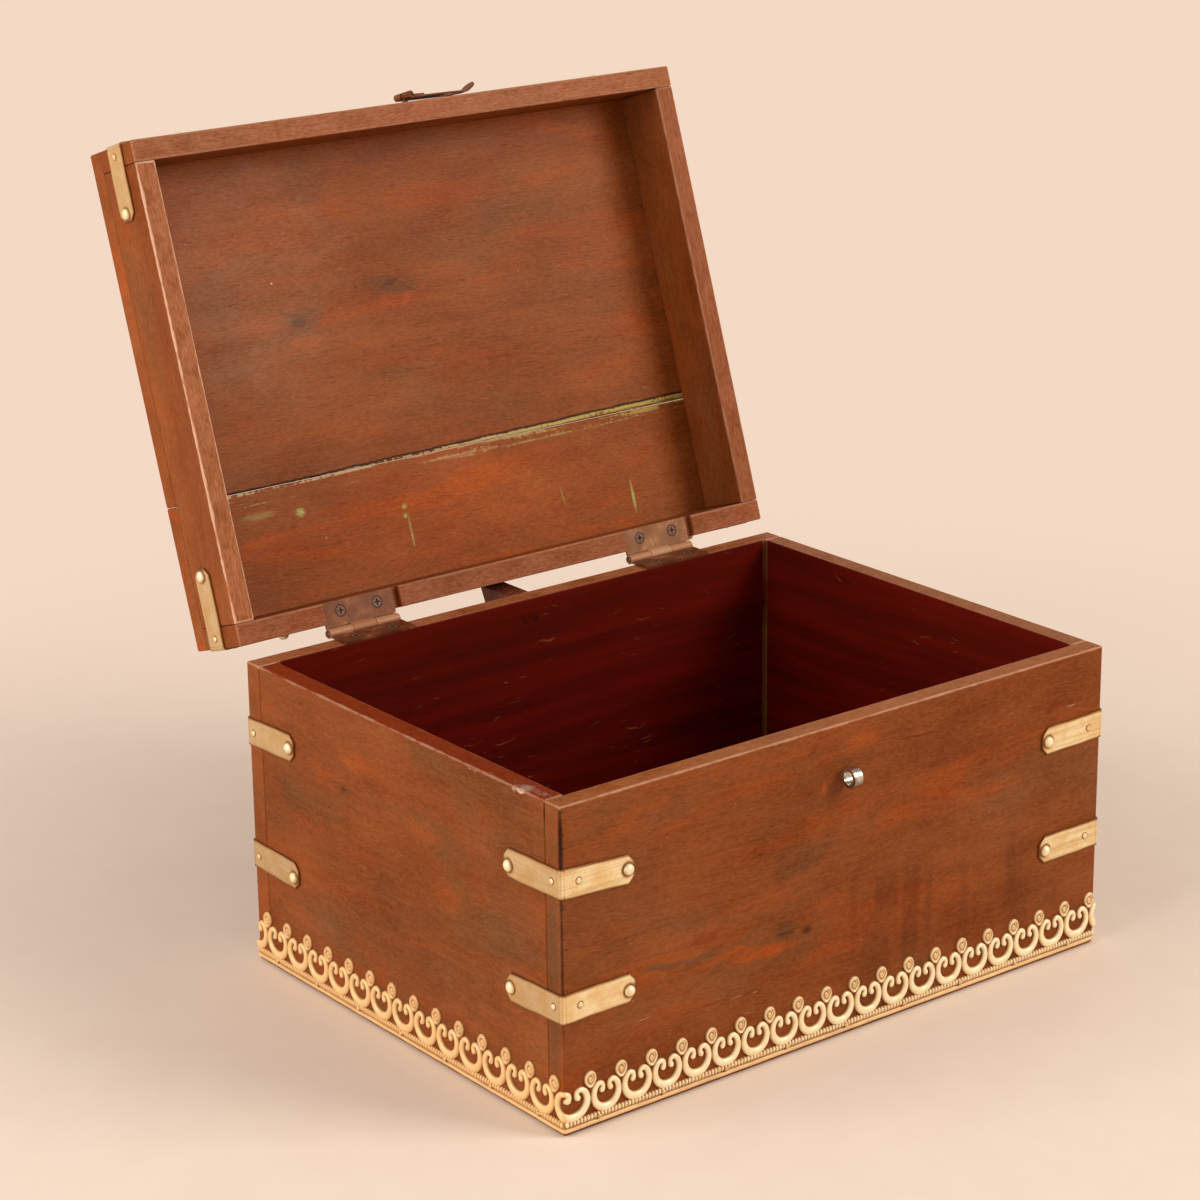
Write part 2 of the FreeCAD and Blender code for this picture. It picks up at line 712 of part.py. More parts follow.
# hasp: a swivel pin with a cross bar through the front rail, and the strap rolled round the bar
PIVOT_Y = "-half_depth - bar_standoff"
BAR_LEFT = "lock_offset - hasp_width / 2"
BAR_RIGHT = "lock_offset + hasp_width / 2"
swivel_shank = rod(
    "swivel_shank", "swivel_radius", "bar_standoff + board + swivel_play", "+Y",
    ("lock_offset", PIVOT_Y, "pivot_z"))
swivel_head = rod(
    "swivel_head_disc", "swivel_head", "swivel_head_sheet", "+Y",
    ("lock_offset", "-half_depth + board + swivel_play", "pivot_z"))
swivel_bar = rod(
    "swivel_bar", "bar_radius", "hasp_width + 2 * swivel_play", "+X",
    (BAR_LEFT + " - swivel_play", PIVOT_Y, "pivot_z"))
swivel_ends = [
    rod("swivel_end_a", "hasp_roll - knuckle_clear", "hasp_sheet", "+X",
        (BAR_LEFT + " - swivel_play - hasp_sheet", PIVOT_Y, "pivot_z")),
    rod("swivel_end_b", "hasp_roll - knuckle_clear", "hasp_sheet", "+X",
        (BAR_RIGHT + " + swivel_play", PIVOT_Y, "pivot_z")),
]
swivel_pin = fused("swivel_pin", [swivel_shank, swivel_head, swivel_bar] + swivel_ends)
swivel_hole = rod(
    "swivel_hole", "swivel_radius + running_fit", "2 * board", "+Y",
    ("lock_offset", "-half_depth - board / 2", "pivot_z"))

STRAP_Y = PIVOT_Y + " + hasp_roll - hasp_sheet"
strap_roll = rod("hasp_strap_roll", "hasp_roll", "hasp_width", "+X", (BAR_LEFT, PIVOT_Y, "pivot_z"))
strap_plate = block(
    "hasp_strap_plate", ("hasp_width", "hasp_sheet", "hasp_length"),
    (BAR_LEFT, STRAP_Y, "pivot_z - hasp_length"))
strap_fold = block(
    "hasp_strap_fold", ("hasp_width", "hasp_sheet", "hasp_fold"),
    (BAR_LEFT, STRAP_Y + " - hasp_sheet", "pivot_z - hasp_fold"))
strap_neck = block(
    "hasp_strap_neck", ("hasp_neck", "hasp_sheet", "hasp_neck_length"),
    ("lock_offset - hasp_neck / 2", STRAP_Y, "pivot_z - hasp_length - hasp_neck_length"))
strap_paddle = doc.addObject("Part::Box", "hasp_strap_paddle")
strap_paddle.Placement = FreeCAD.Placement(FreeCAD.Vector(0, 0, 0), FreeCAD.Rotation(ACROSS, 90))
bind(strap_paddle, {
    "Length": "hasp_paddle",
    "Width": "hasp_sheet",
    "Height": "hasp_paddle_length",
    "Placement.Rotation.Angle": "180 - hasp_curl",
})
place(strap_paddle, "lock_offset - hasp_paddle / 2", STRAP_Y + " + hasp_sheet",
      "pivot_z - hasp_length - hasp_neck_length + hasp_sheet / 2")
strap_bore = rod(
    "hasp_strap_bore", "bar_radius + running_fit", "hasp_width", "+X", (BAR_LEFT, PIVOT_Y, "pivot_z"))
strap_notch = block(
    "hasp_strap_notch",
    ("hasp_notch", "4 * hasp_roll", "2 * hasp_roll + 2 * knuckle_clear"),
    ("lock_offset - hasp_notch / 2", PIVOT_Y + " - 2 * hasp_roll", "pivot_z - hasp_roll - knuckle_clear"))
strap_slot = block(
    "hasp_strap_slot",
    ("hasp_slot_width", "4 * hasp_roll", "2 * slot_half"),
    ("lock_offset - hasp_slot_width / 2", PIVOT_Y + " - 2 * hasp_roll", "staple_z - slot_half"))
strap_solid = fused("hasp_strap_solid", [strap_roll, strap_plate, strap_fold, strap_neck, strap_paddle])
hasp_leaf = less("hasp_strap_pierced", strap_solid, group("hasp_strap_tools", [strap_bore, strap_notch, strap_slot]))


def swung(name, target):
    """Turn a piece of the hasp about its swivel from hanging straight down to the side."""
    side = group(name, [target])
    side.Placement = FreeCAD.Placement(FreeCAD.Vector(0, 0, 0), FreeCAD.Rotation(ALONG, -45))
    bind(side, {"Placement.Rotation.Angle": "-hasp_swing"})
    place(
        side,
        "lock_offset - lock_offset * cos(hasp_swing) + pivot_z * sin(hasp_swing)",
        "0",
        "pivot_z - lock_offset * sin(hasp_swing) - pivot_z * cos(hasp_swing)")
    return group(name + "_open", [side])


node("hasp_swivel_pin", opened(swung("swivel_side", swivel_pin)))
node("hasp_strap", opened(swung("strap_side", hasp_leaf)))

# rear stop block
stop_blank = doc.addObject("Part::Wedge", "stop_blank")
stop_blank.Xmin = 0
stop_blank.X2min = 0
stop_blank.Ymin = 0
stop_blank.Z2min = 0
bind(stop_blank, {
    "Xmax": "stop_width",
    "X2max": "stop_width",
    "Ymax": "stop_height",
    "Zmin": "stop_depth * (1 - stop_toe_share)",
    "Zmax": "stop_depth",
    "Z2max": "stop_depth",
})
stop_blank.Placement = FreeCAD.Placement(FreeCAD.Vector(0, 0, 0), FreeCAD.Rotation(ACROSS, 90))
place(stop_blank, "stop_offset - stop_width / 2", "half_depth + stop_depth", "box_height - stop_height")
stop_level = "box_height - stop_height * stop_nail_share"
stop_brads = group("stop_brad_group", [
    brad("stop_brad_a", "+Y", ("stop_offset - stop_width / 4", "half_depth - board", stop_level)),
    brad("stop_brad_b", "+Y", ("stop_offset + stop_width / 4", "half_depth - board", stop_level)),
])
node("lid_stop_block", less("stop_pierced", stop_blank, stop_brads))

# boards of the box
box_holes = group("box_holes", [body_dome_nails, body_strap_pins, bottom_nails, trim_pins])
FRONT_Y = "-half_depth + board / 2"
BACK_Y = "half_depth - board / 2"
long_board = ("box_width", "board", "box_height")
end_board = ("board", "end_length", "box_height")
front_plank = plank("front_plank", long_board, ("0", FRONT_Y, "0"))
back_plank = plank("back_plank", long_board, ("0", BACK_Y, "0"))
left_plank = plank("left_plank", end_board, ("-half_width + board / 2", "0", "0"))
right_plank = plank("right_plank", end_board, ("half_width - board / 2", "0", "0"))
bottom_plank = plank("bottom_plank", ("inner_width", "end_length", "bottom_board"), ("0", "0", "0"))
front_holes = group("front_holes", [box_holes, staple_stem])
back_holes = group("back_holes", [box_holes, box_hinge_screws, stop_brads])
node("front_board", less("front_board_bored", front_plank, front_holes))
node("back_board", less("back_board_bored", back_plank, back_holes))
node("left_end_board", less("left_board_bored", left_plank, box_holes))
node("right_end_board", less("right_board_bored", right_plank, box_holes))
node("bottom_board", less("bottom_board_bored", bottom_plank, bottom_nails))

# boards of the lid
lid_holes = group("lid_holes", [lid_dome_nails, lid_strap_pins, lid_top_nails])
long_rail = ("box_width", "board", "rail_height")
end_rail = ("board", "end_length", "rail_height")
front_rail = plank("front_rail", long_rail, ("0", FRONT_Y, "lid_base"))
back_rail = plank("back_rail", long_rail, ("0", BACK_Y, "lid_base"))
left_rail = plank("left_rail", end_rail, ("-half_width + board / 2", "0", "lid_base"))
right_rail = plank("right_rail", end_rail, ("half_width - board / 2", "0", "lid_base"))
wide_depth = "top_joint + half_depth - joint_gap"
narrow_depth = "half_depth - top_joint - joint_gap"
wide_top = plank(
    "wide_top", ("box_width", wide_depth, "top_board"),
    ("0", "(top_joint - half_depth - joint_gap) / 2", "rail_top"))
narrow_top = plank(
    "narrow_top", ("box_width", narrow_depth, "top_board"),
    ("0", "(top_joint + half_depth + joint_gap) / 2", "rail_top"))
front_rail_holes = group("front_rail_holes", [lid_holes, swivel_hole])
back_rail_holes = group("back_rail_holes", [lid_holes, lid_hinge_screws])
mortises = group("mortises", [left_mortise, right_mortise])
node("lid_front_rail", opened(less("front_rail_bored", front_rail, front_rail_holes)))
back_rail_cut = less("back_rail_mortised", back_rail, mortises)
node("lid_back_rail", opened(less("back_rail_bored", back_rail_cut, back_rail_holes)))
node("lid_left_rail", opened(less("left_rail_bored", left_rail, lid_holes)))
node("lid_right_rail", opened(less("right_rail_bored", right_rail, lid_holes)))
node("lid_top_wide", opened(less("wide_top_bored", wide_top, lid_top_nails)))
node("lid_top_narrow", opened(less("narrow_top_bored", narrow_top, lid_top_nails)))

# fastener groups
node("box_dome_nails", body_dome_nails)
node("box_strap_pins", body_strap_pins)
node("bottom_nails", bottom_nails)
node("trim_pins", trim_pins)
node("stop_nails", stop_brads)
node("hinge_screws_box", box_hinge_screws)
node("lid_dome_nails", opened(group("lid_dome_open", [lid_dome_nails])))
node("lid_strap_pins", opened(group("lid_pin_open", [lid_strap_pins])))
node("lid_top_nails", opened(group("lid_nail_open", [lid_top_nails])))
node("hinge_screws_lid", opened(group("lid_screw_open", [lid_hinge_screws])))

doc.recompute()

for item in doc.Objects:
    if "Invalid" in item.State or "Error" in item.State:
        raise RuntimeError(f"{item.Name} did not compute: {item.State}")
os.makedirs("parts", exist_ok=True)
for target in NODES:
    shape = target.Shape
    if shape.isNull() or not shape.isValid() or not shape.Solids:
        raise RuntimeError(f"{target.Label} has no valid solid")
    shape.exportStep(f"parts/{target.Label}.step")
    box = shape.BoundBox
    print(f"{target.Label}: {len(shape.Solids)} solids, volume {shape.Volume:.1f}, "
          f"x {box.XMin:.2f}..{box.XMax:.2f} y {box.YMin:.2f}..{box.YMax:.2f} z {box.ZMin:.2f}..{box.ZMax:.2f}")
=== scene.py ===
"""Looks of a stained wooden storage box: open lid, brass corner straps, brass gallery strip."""

import logging
import math
from dataclasses import dataclass, field
from enum import Enum
from typing import Any, Sequence, Union

import bmesh
import bpy
import numpy as np
from mathutils import Matrix


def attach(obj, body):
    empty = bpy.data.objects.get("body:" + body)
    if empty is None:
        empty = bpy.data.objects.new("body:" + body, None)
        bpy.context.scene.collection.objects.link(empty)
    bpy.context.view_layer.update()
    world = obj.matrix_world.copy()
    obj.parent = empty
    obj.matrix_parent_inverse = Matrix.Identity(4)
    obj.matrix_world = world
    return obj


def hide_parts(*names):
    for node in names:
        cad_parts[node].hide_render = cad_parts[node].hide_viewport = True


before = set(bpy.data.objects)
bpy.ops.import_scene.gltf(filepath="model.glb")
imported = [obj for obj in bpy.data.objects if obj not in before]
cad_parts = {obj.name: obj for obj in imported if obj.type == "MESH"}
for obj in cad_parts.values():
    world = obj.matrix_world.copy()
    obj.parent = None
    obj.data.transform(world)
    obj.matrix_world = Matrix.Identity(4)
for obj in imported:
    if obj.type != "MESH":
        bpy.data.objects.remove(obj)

LOG = logging.getLogger("storage_box")
MM = 0.001
PER_METRE = 1000.0
Point = tuple[float, float, float]
Colour = tuple[float, float, float, float]


def paint(red: int, green: int, blue: int) -> Colour:
    """A colour chip, turned to linear light.

    Args:
        red: Red in screen values from 0 to 255.
        green: Green, likewise.
        blue: Blue, likewise.

    Returns:
        The colour with an alpha of 1.
    """
    chip = np.array([red, green, blue]) / 255.0
    linear = np.where(chip <= 0.04045, chip / 12.92, ((chip + 0.055) / 1.055) ** 2.4)
    return (float(linear[0]), float(linear[1]), float(linear[2]), 1.0)


# Surfaces

@dataclass
class Skin:
    """Points and four-cornered faces of one surface, with a share from low to high for each point."""

    points: np.ndarray
    faces: np.ndarray
    height: np.ndarray

    @staticmethod
    def woven(grid: np.ndarray, height: np.ndarray, round_columns: bool = False) -> "Skin":
        """Joins neighbouring points of a grid to faces.

        Args:
            grid: Points, rows by columns by three.
            height: Share from low to high, rows by columns.
            round_columns: The last column meets the first one.

        Returns:
            The surface; the face turns from columns to rows, right-handed.
        """
        rows, columns = grid.shape[:2]
        index = np.arange(rows * columns).reshape(rows, columns)
        if round_columns:
            index = np.hstack([index, index[:, :1]])
        quads = np.stack([index[:-1, :-1], index[:-1, 1:], index[1:, 1:], index[1:, :-1]], axis=-1)
        return Skin(grid.reshape(-1, 3), quads.reshape(-1, 4), height.reshape(-1))

    @staticmethod
    def joined(parts: Sequence["Skin"]) -> "Skin":
        """Several surfaces kept as one, each face pointing at its own points.

        Args:
            parts: The surfaces.

        Returns:
            All of them in one.
        """
        starts = np.cumsum([0] + [len(part.points) for part in parts[:-1]])
        return Skin(
            np.vstack([part.points for part in parts]),
            np.vstack([part.faces + start for part, start in zip(parts, starts)]),
            np.concatenate([part.height for part in parts]),
        )

    @staticmethod
    def cap(outline: np.ndarray) -> "Skin":
        """Closes an end: the first half of the outline is joined across to the second half.

        Args:
            outline: Points round the end, an even number.

        Returns:
            The closing surface.
        """
        half = len(outline) // 2
        grid = np.stack([outline[:half], outline[::-1][:half]], axis=0)
        return Skin.woven(grid, np.zeros(grid.shape[:2]))

    @staticmethod
    def tube(grid: np.ndarray) -> "Skin":
        """A profile carried along a path, woven round its columns and closed at both ends."""
        body = Skin.woven(grid, np.ones(grid.shape[:2]), round_columns=True)
        return Skin.joined([body, Skin.cap(grid[0]), Skin.cap(grid[-1])])

    def piece(self, name: str, sharp: float = 40.0, closed: bool = False) -> bpy.types.Object:
        """Makes the object, in metres from millimetres.

        Args:
            name: Name of the piece.
            sharp: Angle in degrees above which an edge stays crisp.
            closed: Every surface in it is closed, so that its faces can be turned outward.

        Returns:
            The object, at the origin.
        """
        mesh = bpy.data.meshes.new(name)
        mesh.from_pydata((self.points * MM).tolist(), [], self.faces.tolist())
        layer = mesh.attributes.new("relief", "FLOAT", "POINT")
        layer.data.foreach_set("value", self.height.astype(np.float32))
        work = bmesh.new()
        work.from_mesh(mesh)
        bmesh.ops.remove_doubles(work, verts=work.verts, dist=1e-6)
        if closed:
            bmesh.ops.recalc_face_normals(work, faces=work.faces)
        work.to_mesh(mesh)
        work.free()
        mesh.shade_smooth()
        mesh.set_sharp_from_angle(angle=math.radians(sharp))
        thing = bpy.data.objects.new(name, mesh)
        bpy.context.scene.collection.objects.link(thing)
        return thing


@dataclass(frozen=True)
class Girth:
    """The way round the upright walls: a rectangle with eased corners, from the front left corner."""

    half_width: float = 152.5
    half_depth: float = 114.3
    ease: float = 0.8
    wall: float = 10.0

    @property
    def inner(self) -> tuple[float, float]:
        """Half width and half depth between the inner faces of the walls."""
        return self.half_width - self.wall, self.half_depth - self.wall

    @property
    def length(self) -> float:
        """Whole way round."""
        return 4 * (self.half_width + self.half_depth)

    def corners(self) -> np.ndarray:
        """Stations of the four corners: front left, front right, back right, back left."""
        wide, deep = 2 * self.half_width, 2 * self.half_depth
        return np.array([0, wide, wide + deep, 2 * wide + deep], float)

    def at(self, station: np.ndarray, level: np.ndarray, out: np.ndarray) -> np.ndarray:
        """Carries a flat strip round the walls.

        Along a side the point is start + way * direction + out * normal. Within the eased corner the normal
        turns with the station, and the point is the corner's centre + (ease + out) * turned normal.

        Args:
            station: Way along the walls from the front left corner.
            level: Height above the floor.
            out: Distance from the wood.

        Returns:
            Points, with the same shape and three coordinates.
        """
        station, level, out = np.broadcast_arrays(station, level, out)
        around = np.mod(station, self.length)
        starts = self.corners()
        side = np.clip(np.searchsorted(starts, around, side="right") - 1, 0, 3)
        run = np.where(side % 2 == 0, 2 * self.half_width, 2 * self.half_depth)
        along = around - starts[side]
        arc = self.ease * math.pi / 4
        directions = np.array([[1, 0], [0, 1], [-1, 0], [0, -1]], float)
        normals = np.array([[0, -1], [1, 0], [0, 1], [-1, 0]], float)
        tips = np.array([[-1, -1], [1, -1], [1, 1], [-1, 1]], float) * [self.half_width, self.half_depth]
        turn = np.where(along < arc, (along - arc) / self.ease, 0.0)
        turn = np.where(run - along < arc, (arc - run + along) / self.ease, turn)
        way = self.ease + (along - arc) * (run - 2 * self.ease) / (run - 2 * arc)
        way = np.clip(way, self.ease, run - self.ease)[..., None]
        direction, normal = directions[side], normals[side]
        spin = np.cos(turn)[..., None] * normal + np.sin(turn)[..., None] * direction
        flat = tips[side] + direction * way - normal * self.ease + spin * (self.ease + out[..., None])
        return np.concatenate([flat, level[..., None]], axis=-1)


@dataclass(frozen=True)
class LidSwing:
    """How far the lid stands open in the pictured pose, about its hinge line."""

    degrees: float = 108.4
    axis_depth: float = 118.5
    axis_level: float = 144.8

    def turned(self, points: np.ndarray, degrees: float) -> np.ndarray:
        """Turns points about the hinge line.

        Args:
            points: Points in millimetres.
            degrees: Angle of the turn; the lid shuts with a positive one.

        Returns:
            The turned points.
        """
        turn = math.radians(degrees)
        deep, up = points[..., 1] - self.axis_depth, points[..., 2] - self.axis_level
        return np.stack([
            points[..., 0],
            self.axis_depth + math.cos(turn) * deep - math.sin(turn) * up,
            self.axis_level + math.sin(turn) * deep + math.cos(turn) * up,
        ], axis=-1)

    def opened(self, points: np.ndarray) -> np.ndarray:
        """Turns points given for the shut lid back by the opening angle."""
        return self.turned(points, -self.degrees)

    def shut(self, points: np.ndarray) -> np.ndarray:
        """Turns points of the open lid forward to where they are when the lid is shut."""
        return self.turned(points, self.degrees)

    def shift(self) -> Point:
        """Where the origin goes, in metres, when the whole lid turns forward to shut."""
        _, deep, up = self.shut(np.zeros(3)) * MM
        return (0.0, float(deep), float(up))


@dataclass(frozen=True)
class HingePlace:
    """Where the two hinges sit on the shut box, in millimetres from its middle and from the floor."""

    middle: float = 87.0
    half_length: float = 18.8
    screw_way: float = 10.0
    screw_depth: float = 109.3
    knuckle_depth: float = 116.0
    lip_depths: tuple[float, float] = (112.6, 116.5)
    lip_levels: tuple[float, float] = (146.1, 146.45)


GIRTH = Girth()
SWING = LidSwing()
HINGE = HingePlace()

# Levels on the shut box: where lid and box meet, and the underside of the lid's boards
RIM_LEVEL = 143.6
LID_PANEL = 173.7

# How far a patch reaches through the face that it lies on
FACE_REACH = 5.0


# Finishes

class Num:
    """One number that changes over a surface; arithmetic on it adds Math nodes."""

    def __init__(self, bench: "Bench", socket: bpy.types.NodeSocket) -> None:
        """Keeps the socket and the bench on which new nodes are put."""
        self.bench = bench
        self.socket = socket

    def math(self, operation: str, *others: Union["Num", float]) -> "Num":
        """One Math node with this number first.

        Args:
            operation: What the node does.
            others: The numbers that follow.

        Returns:
            Its result.
        """
        inputs = {0: self}
        inputs.update({place + 1: other for place, other in enumerate(others)})
        node = self.bench.node("ShaderNodeMath", {"operation": operation}, inputs)
        return Num(self.bench, node.outputs[0])

    def swapped(self, operation: str, other: float) -> "Num":
        """One Math node with this number second."""
        node = self.bench.node("ShaderNodeMath", {"operation": operation}, {0: other, 1: self})
        return Num(self.bench, node.outputs[0])

    def __add__(self, other: Union["Num", float]) -> "Num":
        """Sum."""
        return self.math("ADD", other)

    __radd__ = __add__

    def __sub__(self, other: Union["Num", float]) -> "Num":
        """Difference."""
        return self.math("SUBTRACT", other)

    def __rsub__(self, other: float) -> "Num":
        """Difference from a plain number."""
        return self.swapped("SUBTRACT", other)

    def __mul__(self, other: Union["Num", float]) -> "Num":
        """Product."""
        return self.math("MULTIPLY", other)

    __rmul__ = __mul__

    def __abs__(self) -> "Num":
        """Size without its sign."""
        return self.math("ABSOLUTE")

    def __pow__(self, power: float) -> "Num":
        """Power."""
        return self.math("POWER", power)

    def least(self, other: Union["Num", float]) -> "Num":
        """The smaller of two."""
        return self.math("MINIMUM", other)

    def most(self, other: Union["Num", float]) -> "Num":
        """The larger of two."""
        return self.math("MAXIMUM", other)

    def rise(self, low: float, high: float) -> "Num":
        """Smooth step: 0 at low, 1 at high.

        Args:
            low: Where it starts; it may be the larger.
            high: Where it ends.

        Returns:
            The step.
        """
        turned = low > high
        ends = (high, low) if turned else (low, high)
        node = self.bench.node(
            "ShaderNodeMapRange", {"interpolation_type": "SMOOTHSTEP"},
            {0: self, 1: ends[0], 2: ends[1], 3: 1.0 if turned else 0.0, 4: 0.0 if turned else 1.0})
        return Num(self.bench, node.outputs[0])


class Bench:
    """Node tree of one material, with short ways to lay out its nodes."""

    def __init__(self, name: str) -> None:
        """Starts an empty material with its output.

        Args:
            name: Name of the material.
        """
        self.material = bpy.data.materials.new(name)
        self.material.use_nodes = True
        self.tree = self.material.node_tree
        self.tree.nodes.clear()
        self.output = self.node("ShaderNodeOutputMaterial")

    def node(self, kind: str, settings: dict[str, Any] | None = None,
             inputs: dict[Any, Any] | None = None) -> bpy.types.Node:
        """Adds any node.

        Args:
            kind: Type of the node.
            settings: Its own settings, set first.
            inputs: Values or links by socket name or number.

        Returns:
            The node.
        """
        made = self.tree.nodes.new(kind)
        for key, value in (settings or {}).items():
            setattr(made, key, value)
        for key, value in (inputs or {}).items():
            socket = made.inputs[key]
            if isinstance(value, Num):
                self.tree.links.new(value.socket, socket)
            elif isinstance(value, bpy.types.NodeSocket):
                self.tree.links.new(value, socket)
            else:
                socket.default_value = value
        return made

    def spot(self, lid: bool = False) -> bpy.types.NodeSocket:
        """Object coordinates, in metres; for a piece of the lid those that it has on the shut box."""
        made = self.node("ShaderNodeTexCoord").outputs["Object"]
        return self.moved(made, SWING.shift(), (math.radians(SWING.degrees), 0, 0)) if lid else made

    def moved(self, vector: bpy.types.NodeSocket, place: Point = (0, 0, 0), turn: Point = (0, 0, 0),
              size: Point = (1, 1, 1)) -> bpy.types.NodeSocket:
        """Vector scaled, turned and moved, in that order.

        Args:
            vector: The vector.
            place: Move.
            turn: Turn about the axes in radians.
            size: Scale along the axes.

        Returns:
            The new vector.
        """
        made = self.node("ShaderNodeMapping", {"vector_type": "POINT"},
                         {"Vector": vector, "Location": place, "Rotation": turn, "Scale": size})
        return made.outputs[0]

    def within(self, vector: bpy.types.NodeSocket, middle: Point, reach: Point, turn: Point) -> Num:
        """Distance from the middle of a turned oval, in shares of its reach.

        Args:
            vector: Where it is measured, in metres.
            middle: Middle of the oval in millimetres.
            reach: Half sizes of the oval in millimetres.
            turn: Turn about the axes in degrees.

        Returns:
            The distance, 1 on the outline.
        """
        local = self.node("ShaderNodeMapping", {"vector_type": "TEXTURE"}, {
            "Vector": vector, "Location": [way * MM for way in middle],
            "Rotation": [math.radians(way) for way in turn], "Scale": [way * MM for way in reach]})
        made = self.node("ShaderNodeVectorMath", {"operation": "LENGTH"}, {0: local.outputs[0]})
        return Num(self, made.outputs["Value"])

    def split(self, vector: bpy.types.NodeSocket) -> tuple[Num, Num, Num]:
        """The three coordinates."""
        made = self.node("ShaderNodeSeparateXYZ", None, {0: vector})
        return Num(self, made.outputs[0]), Num(self, made.outputs[1]), Num(self, made.outputs[2])

    def millimetres(self, vector: bpy.types.NodeSocket) -> tuple[Num, Num, Num]:
        """The three coordinates of a vector in metres, as millimetres."""
        x, y, z = self.split(vector)
        return x * PER_METRE, y * PER_METRE, z * PER_METRE

    def cloud(self, vector: bpy.types.NodeSocket, size: Union[float, Point], detail: float = 3.0,
              rough: float = 0.55, bend: float = 0.0) -> Num:
        """Noise from 0 to 1 about 0.5.

        Args:
            vector: Where the noise is read.
            size: Cells in a metre, alike on all axes or one number for each.
            detail: Number of finer layers.
            rough: Share of each finer layer.
            bend: How far the noise bends itself.

        Returns:
            The noise.
        """
        cells = (size, size, size) if isinstance(size, float) else size
        made = self.node("ShaderNodeTexNoise", {"noise_dimensions": "3D"}, {
            "Vector": self.moved(vector, size=cells), "Scale": 1.0, "Detail": detail, "Roughness": rough,
            "Distortion": bend})
        return Num(self, made.outputs[0])

    def wander(self, vector: bpy.types.NodeSocket, size: float, amount: float) -> bpy.types.NodeSocket:
        """Vector pushed about by a slow noise.

        Args:
            vector: The vector.
            size: Cells of the noise in a metre.
            amount: How far the noise pushes.

        Returns:
            The pushed vector.
        """
        noise = self.node("ShaderNodeTexNoise", None, {"Vector": vector, "Scale": size, "Detail": 2.0})
        centred = self.node("ShaderNodeVectorMath", {"operation": "SUBTRACT"},
                            {0: noise.outputs[1], 1: (0.5, 0.5, 0.5)})
        pushed = self.node("ShaderNodeVectorMath", {"operation": "MULTIPLY_ADD"},
                           {0: centred.outputs[0], 1: (amount, amount, amount), 2: vector})
        return pushed.outputs[0]

    def relief(self) -> Num:
        """The piece's own low-to-high attribute."""
        return Num(self, self.node("ShaderNodeAttribute", {"attribute_name": "relief"}).outputs["Fac"])

    def mix(self, share: Union[Num, float], first: Any, second: Any,
            way: str = "MIX") -> bpy.types.NodeSocket:
        """Two colours mixed.

        Args:
            share: Share of the second colour.
            first: First colour.
            second: Second colour.
            way: How they are mixed.

        Returns:
            The mixed colour.
        """
        made = self.node("ShaderNodeMix", {"data_type": "RGBA", "blend_type": way},
                         {0: share, 6: first, 7: second})
        return made.outputs[2]

    def shade(self, colour: Any, change: Num, light: float = 1.0,
              film: tuple[float, float] = (0.0, 0.0)) -> bpy.types.NodeSocket:
        """Colour made lighter or darker.

        Args:
            colour: The colour.
            change: What is added to 1 for the share by which the colour is multiplied.
            light: Even share on top of it.
            film: How much further green and blue move than red, as under a hazy lacquer.

        Returns:
            The shaded colour.
        """
        tone = self.node("ShaderNodeCombineColor", None, {
            place: (change * (light * (1.0 + more)) + light).most(0.02)
            for place, more in enumerate((0.0,) + film)})
        return self.mix(1.0, colour, tone.outputs[0], "MULTIPLY")

    def bump(self, height: Num, depth: float) -> bpy.types.NodeSocket:
        """Normal bent by a height whose unit stands for depth in metres."""
        made = self.node("ShaderNodeBump", None, {"Strength": 1.0, "Distance": depth, "Height": height})
        return made.outputs[0]

    def finish(self, inputs: dict[str, Any]) -> bpy.types.Material:
        """Closes the material with its shader."""
        return self.close(self.node("ShaderNodeBsdfPrincipled", None, inputs))

    def close(self, shader: bpy.types.Node) -> bpy.types.Material:
        """Links the last shader to the output."""
        self.tree.links.new(shader.outputs[0], self.output.inputs[0])
        return self.material


class Grain(Enum):
    """Which way the fibres of a board run, as the turn that lays them along the first axis."""

    WIDTH = (0.0, 0.0, 0.0)
    DEPTH = (0.0, 0.0, -math.pi / 2)


class Tint(Enum):
    """Tones that show in patches on the boards."""

    DULL = paint(96, 64, 38)
    WARM = paint(164, 76, 22)
    DEEP = paint(46, 20, 11)
    RED = paint(120, 36, 12)
    PALE = paint(214, 176, 142)
    WHITE = paint(226, 206, 184)
    OLIVE = paint(158, 152, 84)
    GREEN = paint(128, 128, 66)


@dataclass(frozen=True)
class Patch:
    """A patch on a board.

    Its place on the shut box and half sizes along the three axes are in millimetres, its turn about them in
    degrees. Ragged says how far noise breaks its outline up.
    """

    tint: Tint
    place: Point
    reach: Point
    strength: float = 0.6
    turn: Point = (0.0, 0.0, 0.0)
    ragged: float = 0.8

    @property
    def flows(self) -> bool:
        """A large, uneven patch is drawn out by the swirl of the wood."""
        return self.ragged > 0.7 and max(self.reach) > 18

    @property
    def gritty(self) -> bool:
        """A very ragged patch is broken up by grit instead of fibres."""
        return self.ragged > 1.5


def on_front(tint: Tint, x: float, z: float, wide: float, high: float, strength: float, turn: float = 0.0,
             ragged: float = 0.8) -> Patch:
    """A patch on the outer face of the front board."""
    return Patch(tint, (x, -GIRTH.half_depth, z), (wide, FACE_REACH, high), strength, (0, turn, 0), ragged)


def on_left(tint: Tint, y: float, z: float, deep: float, high: float, strength: float) -> Patch:
    """A patch on the outer face of the left end board."""
    return Patch(tint, (-GIRTH.half_width, y, z), (FACE_REACH, deep, high), strength)


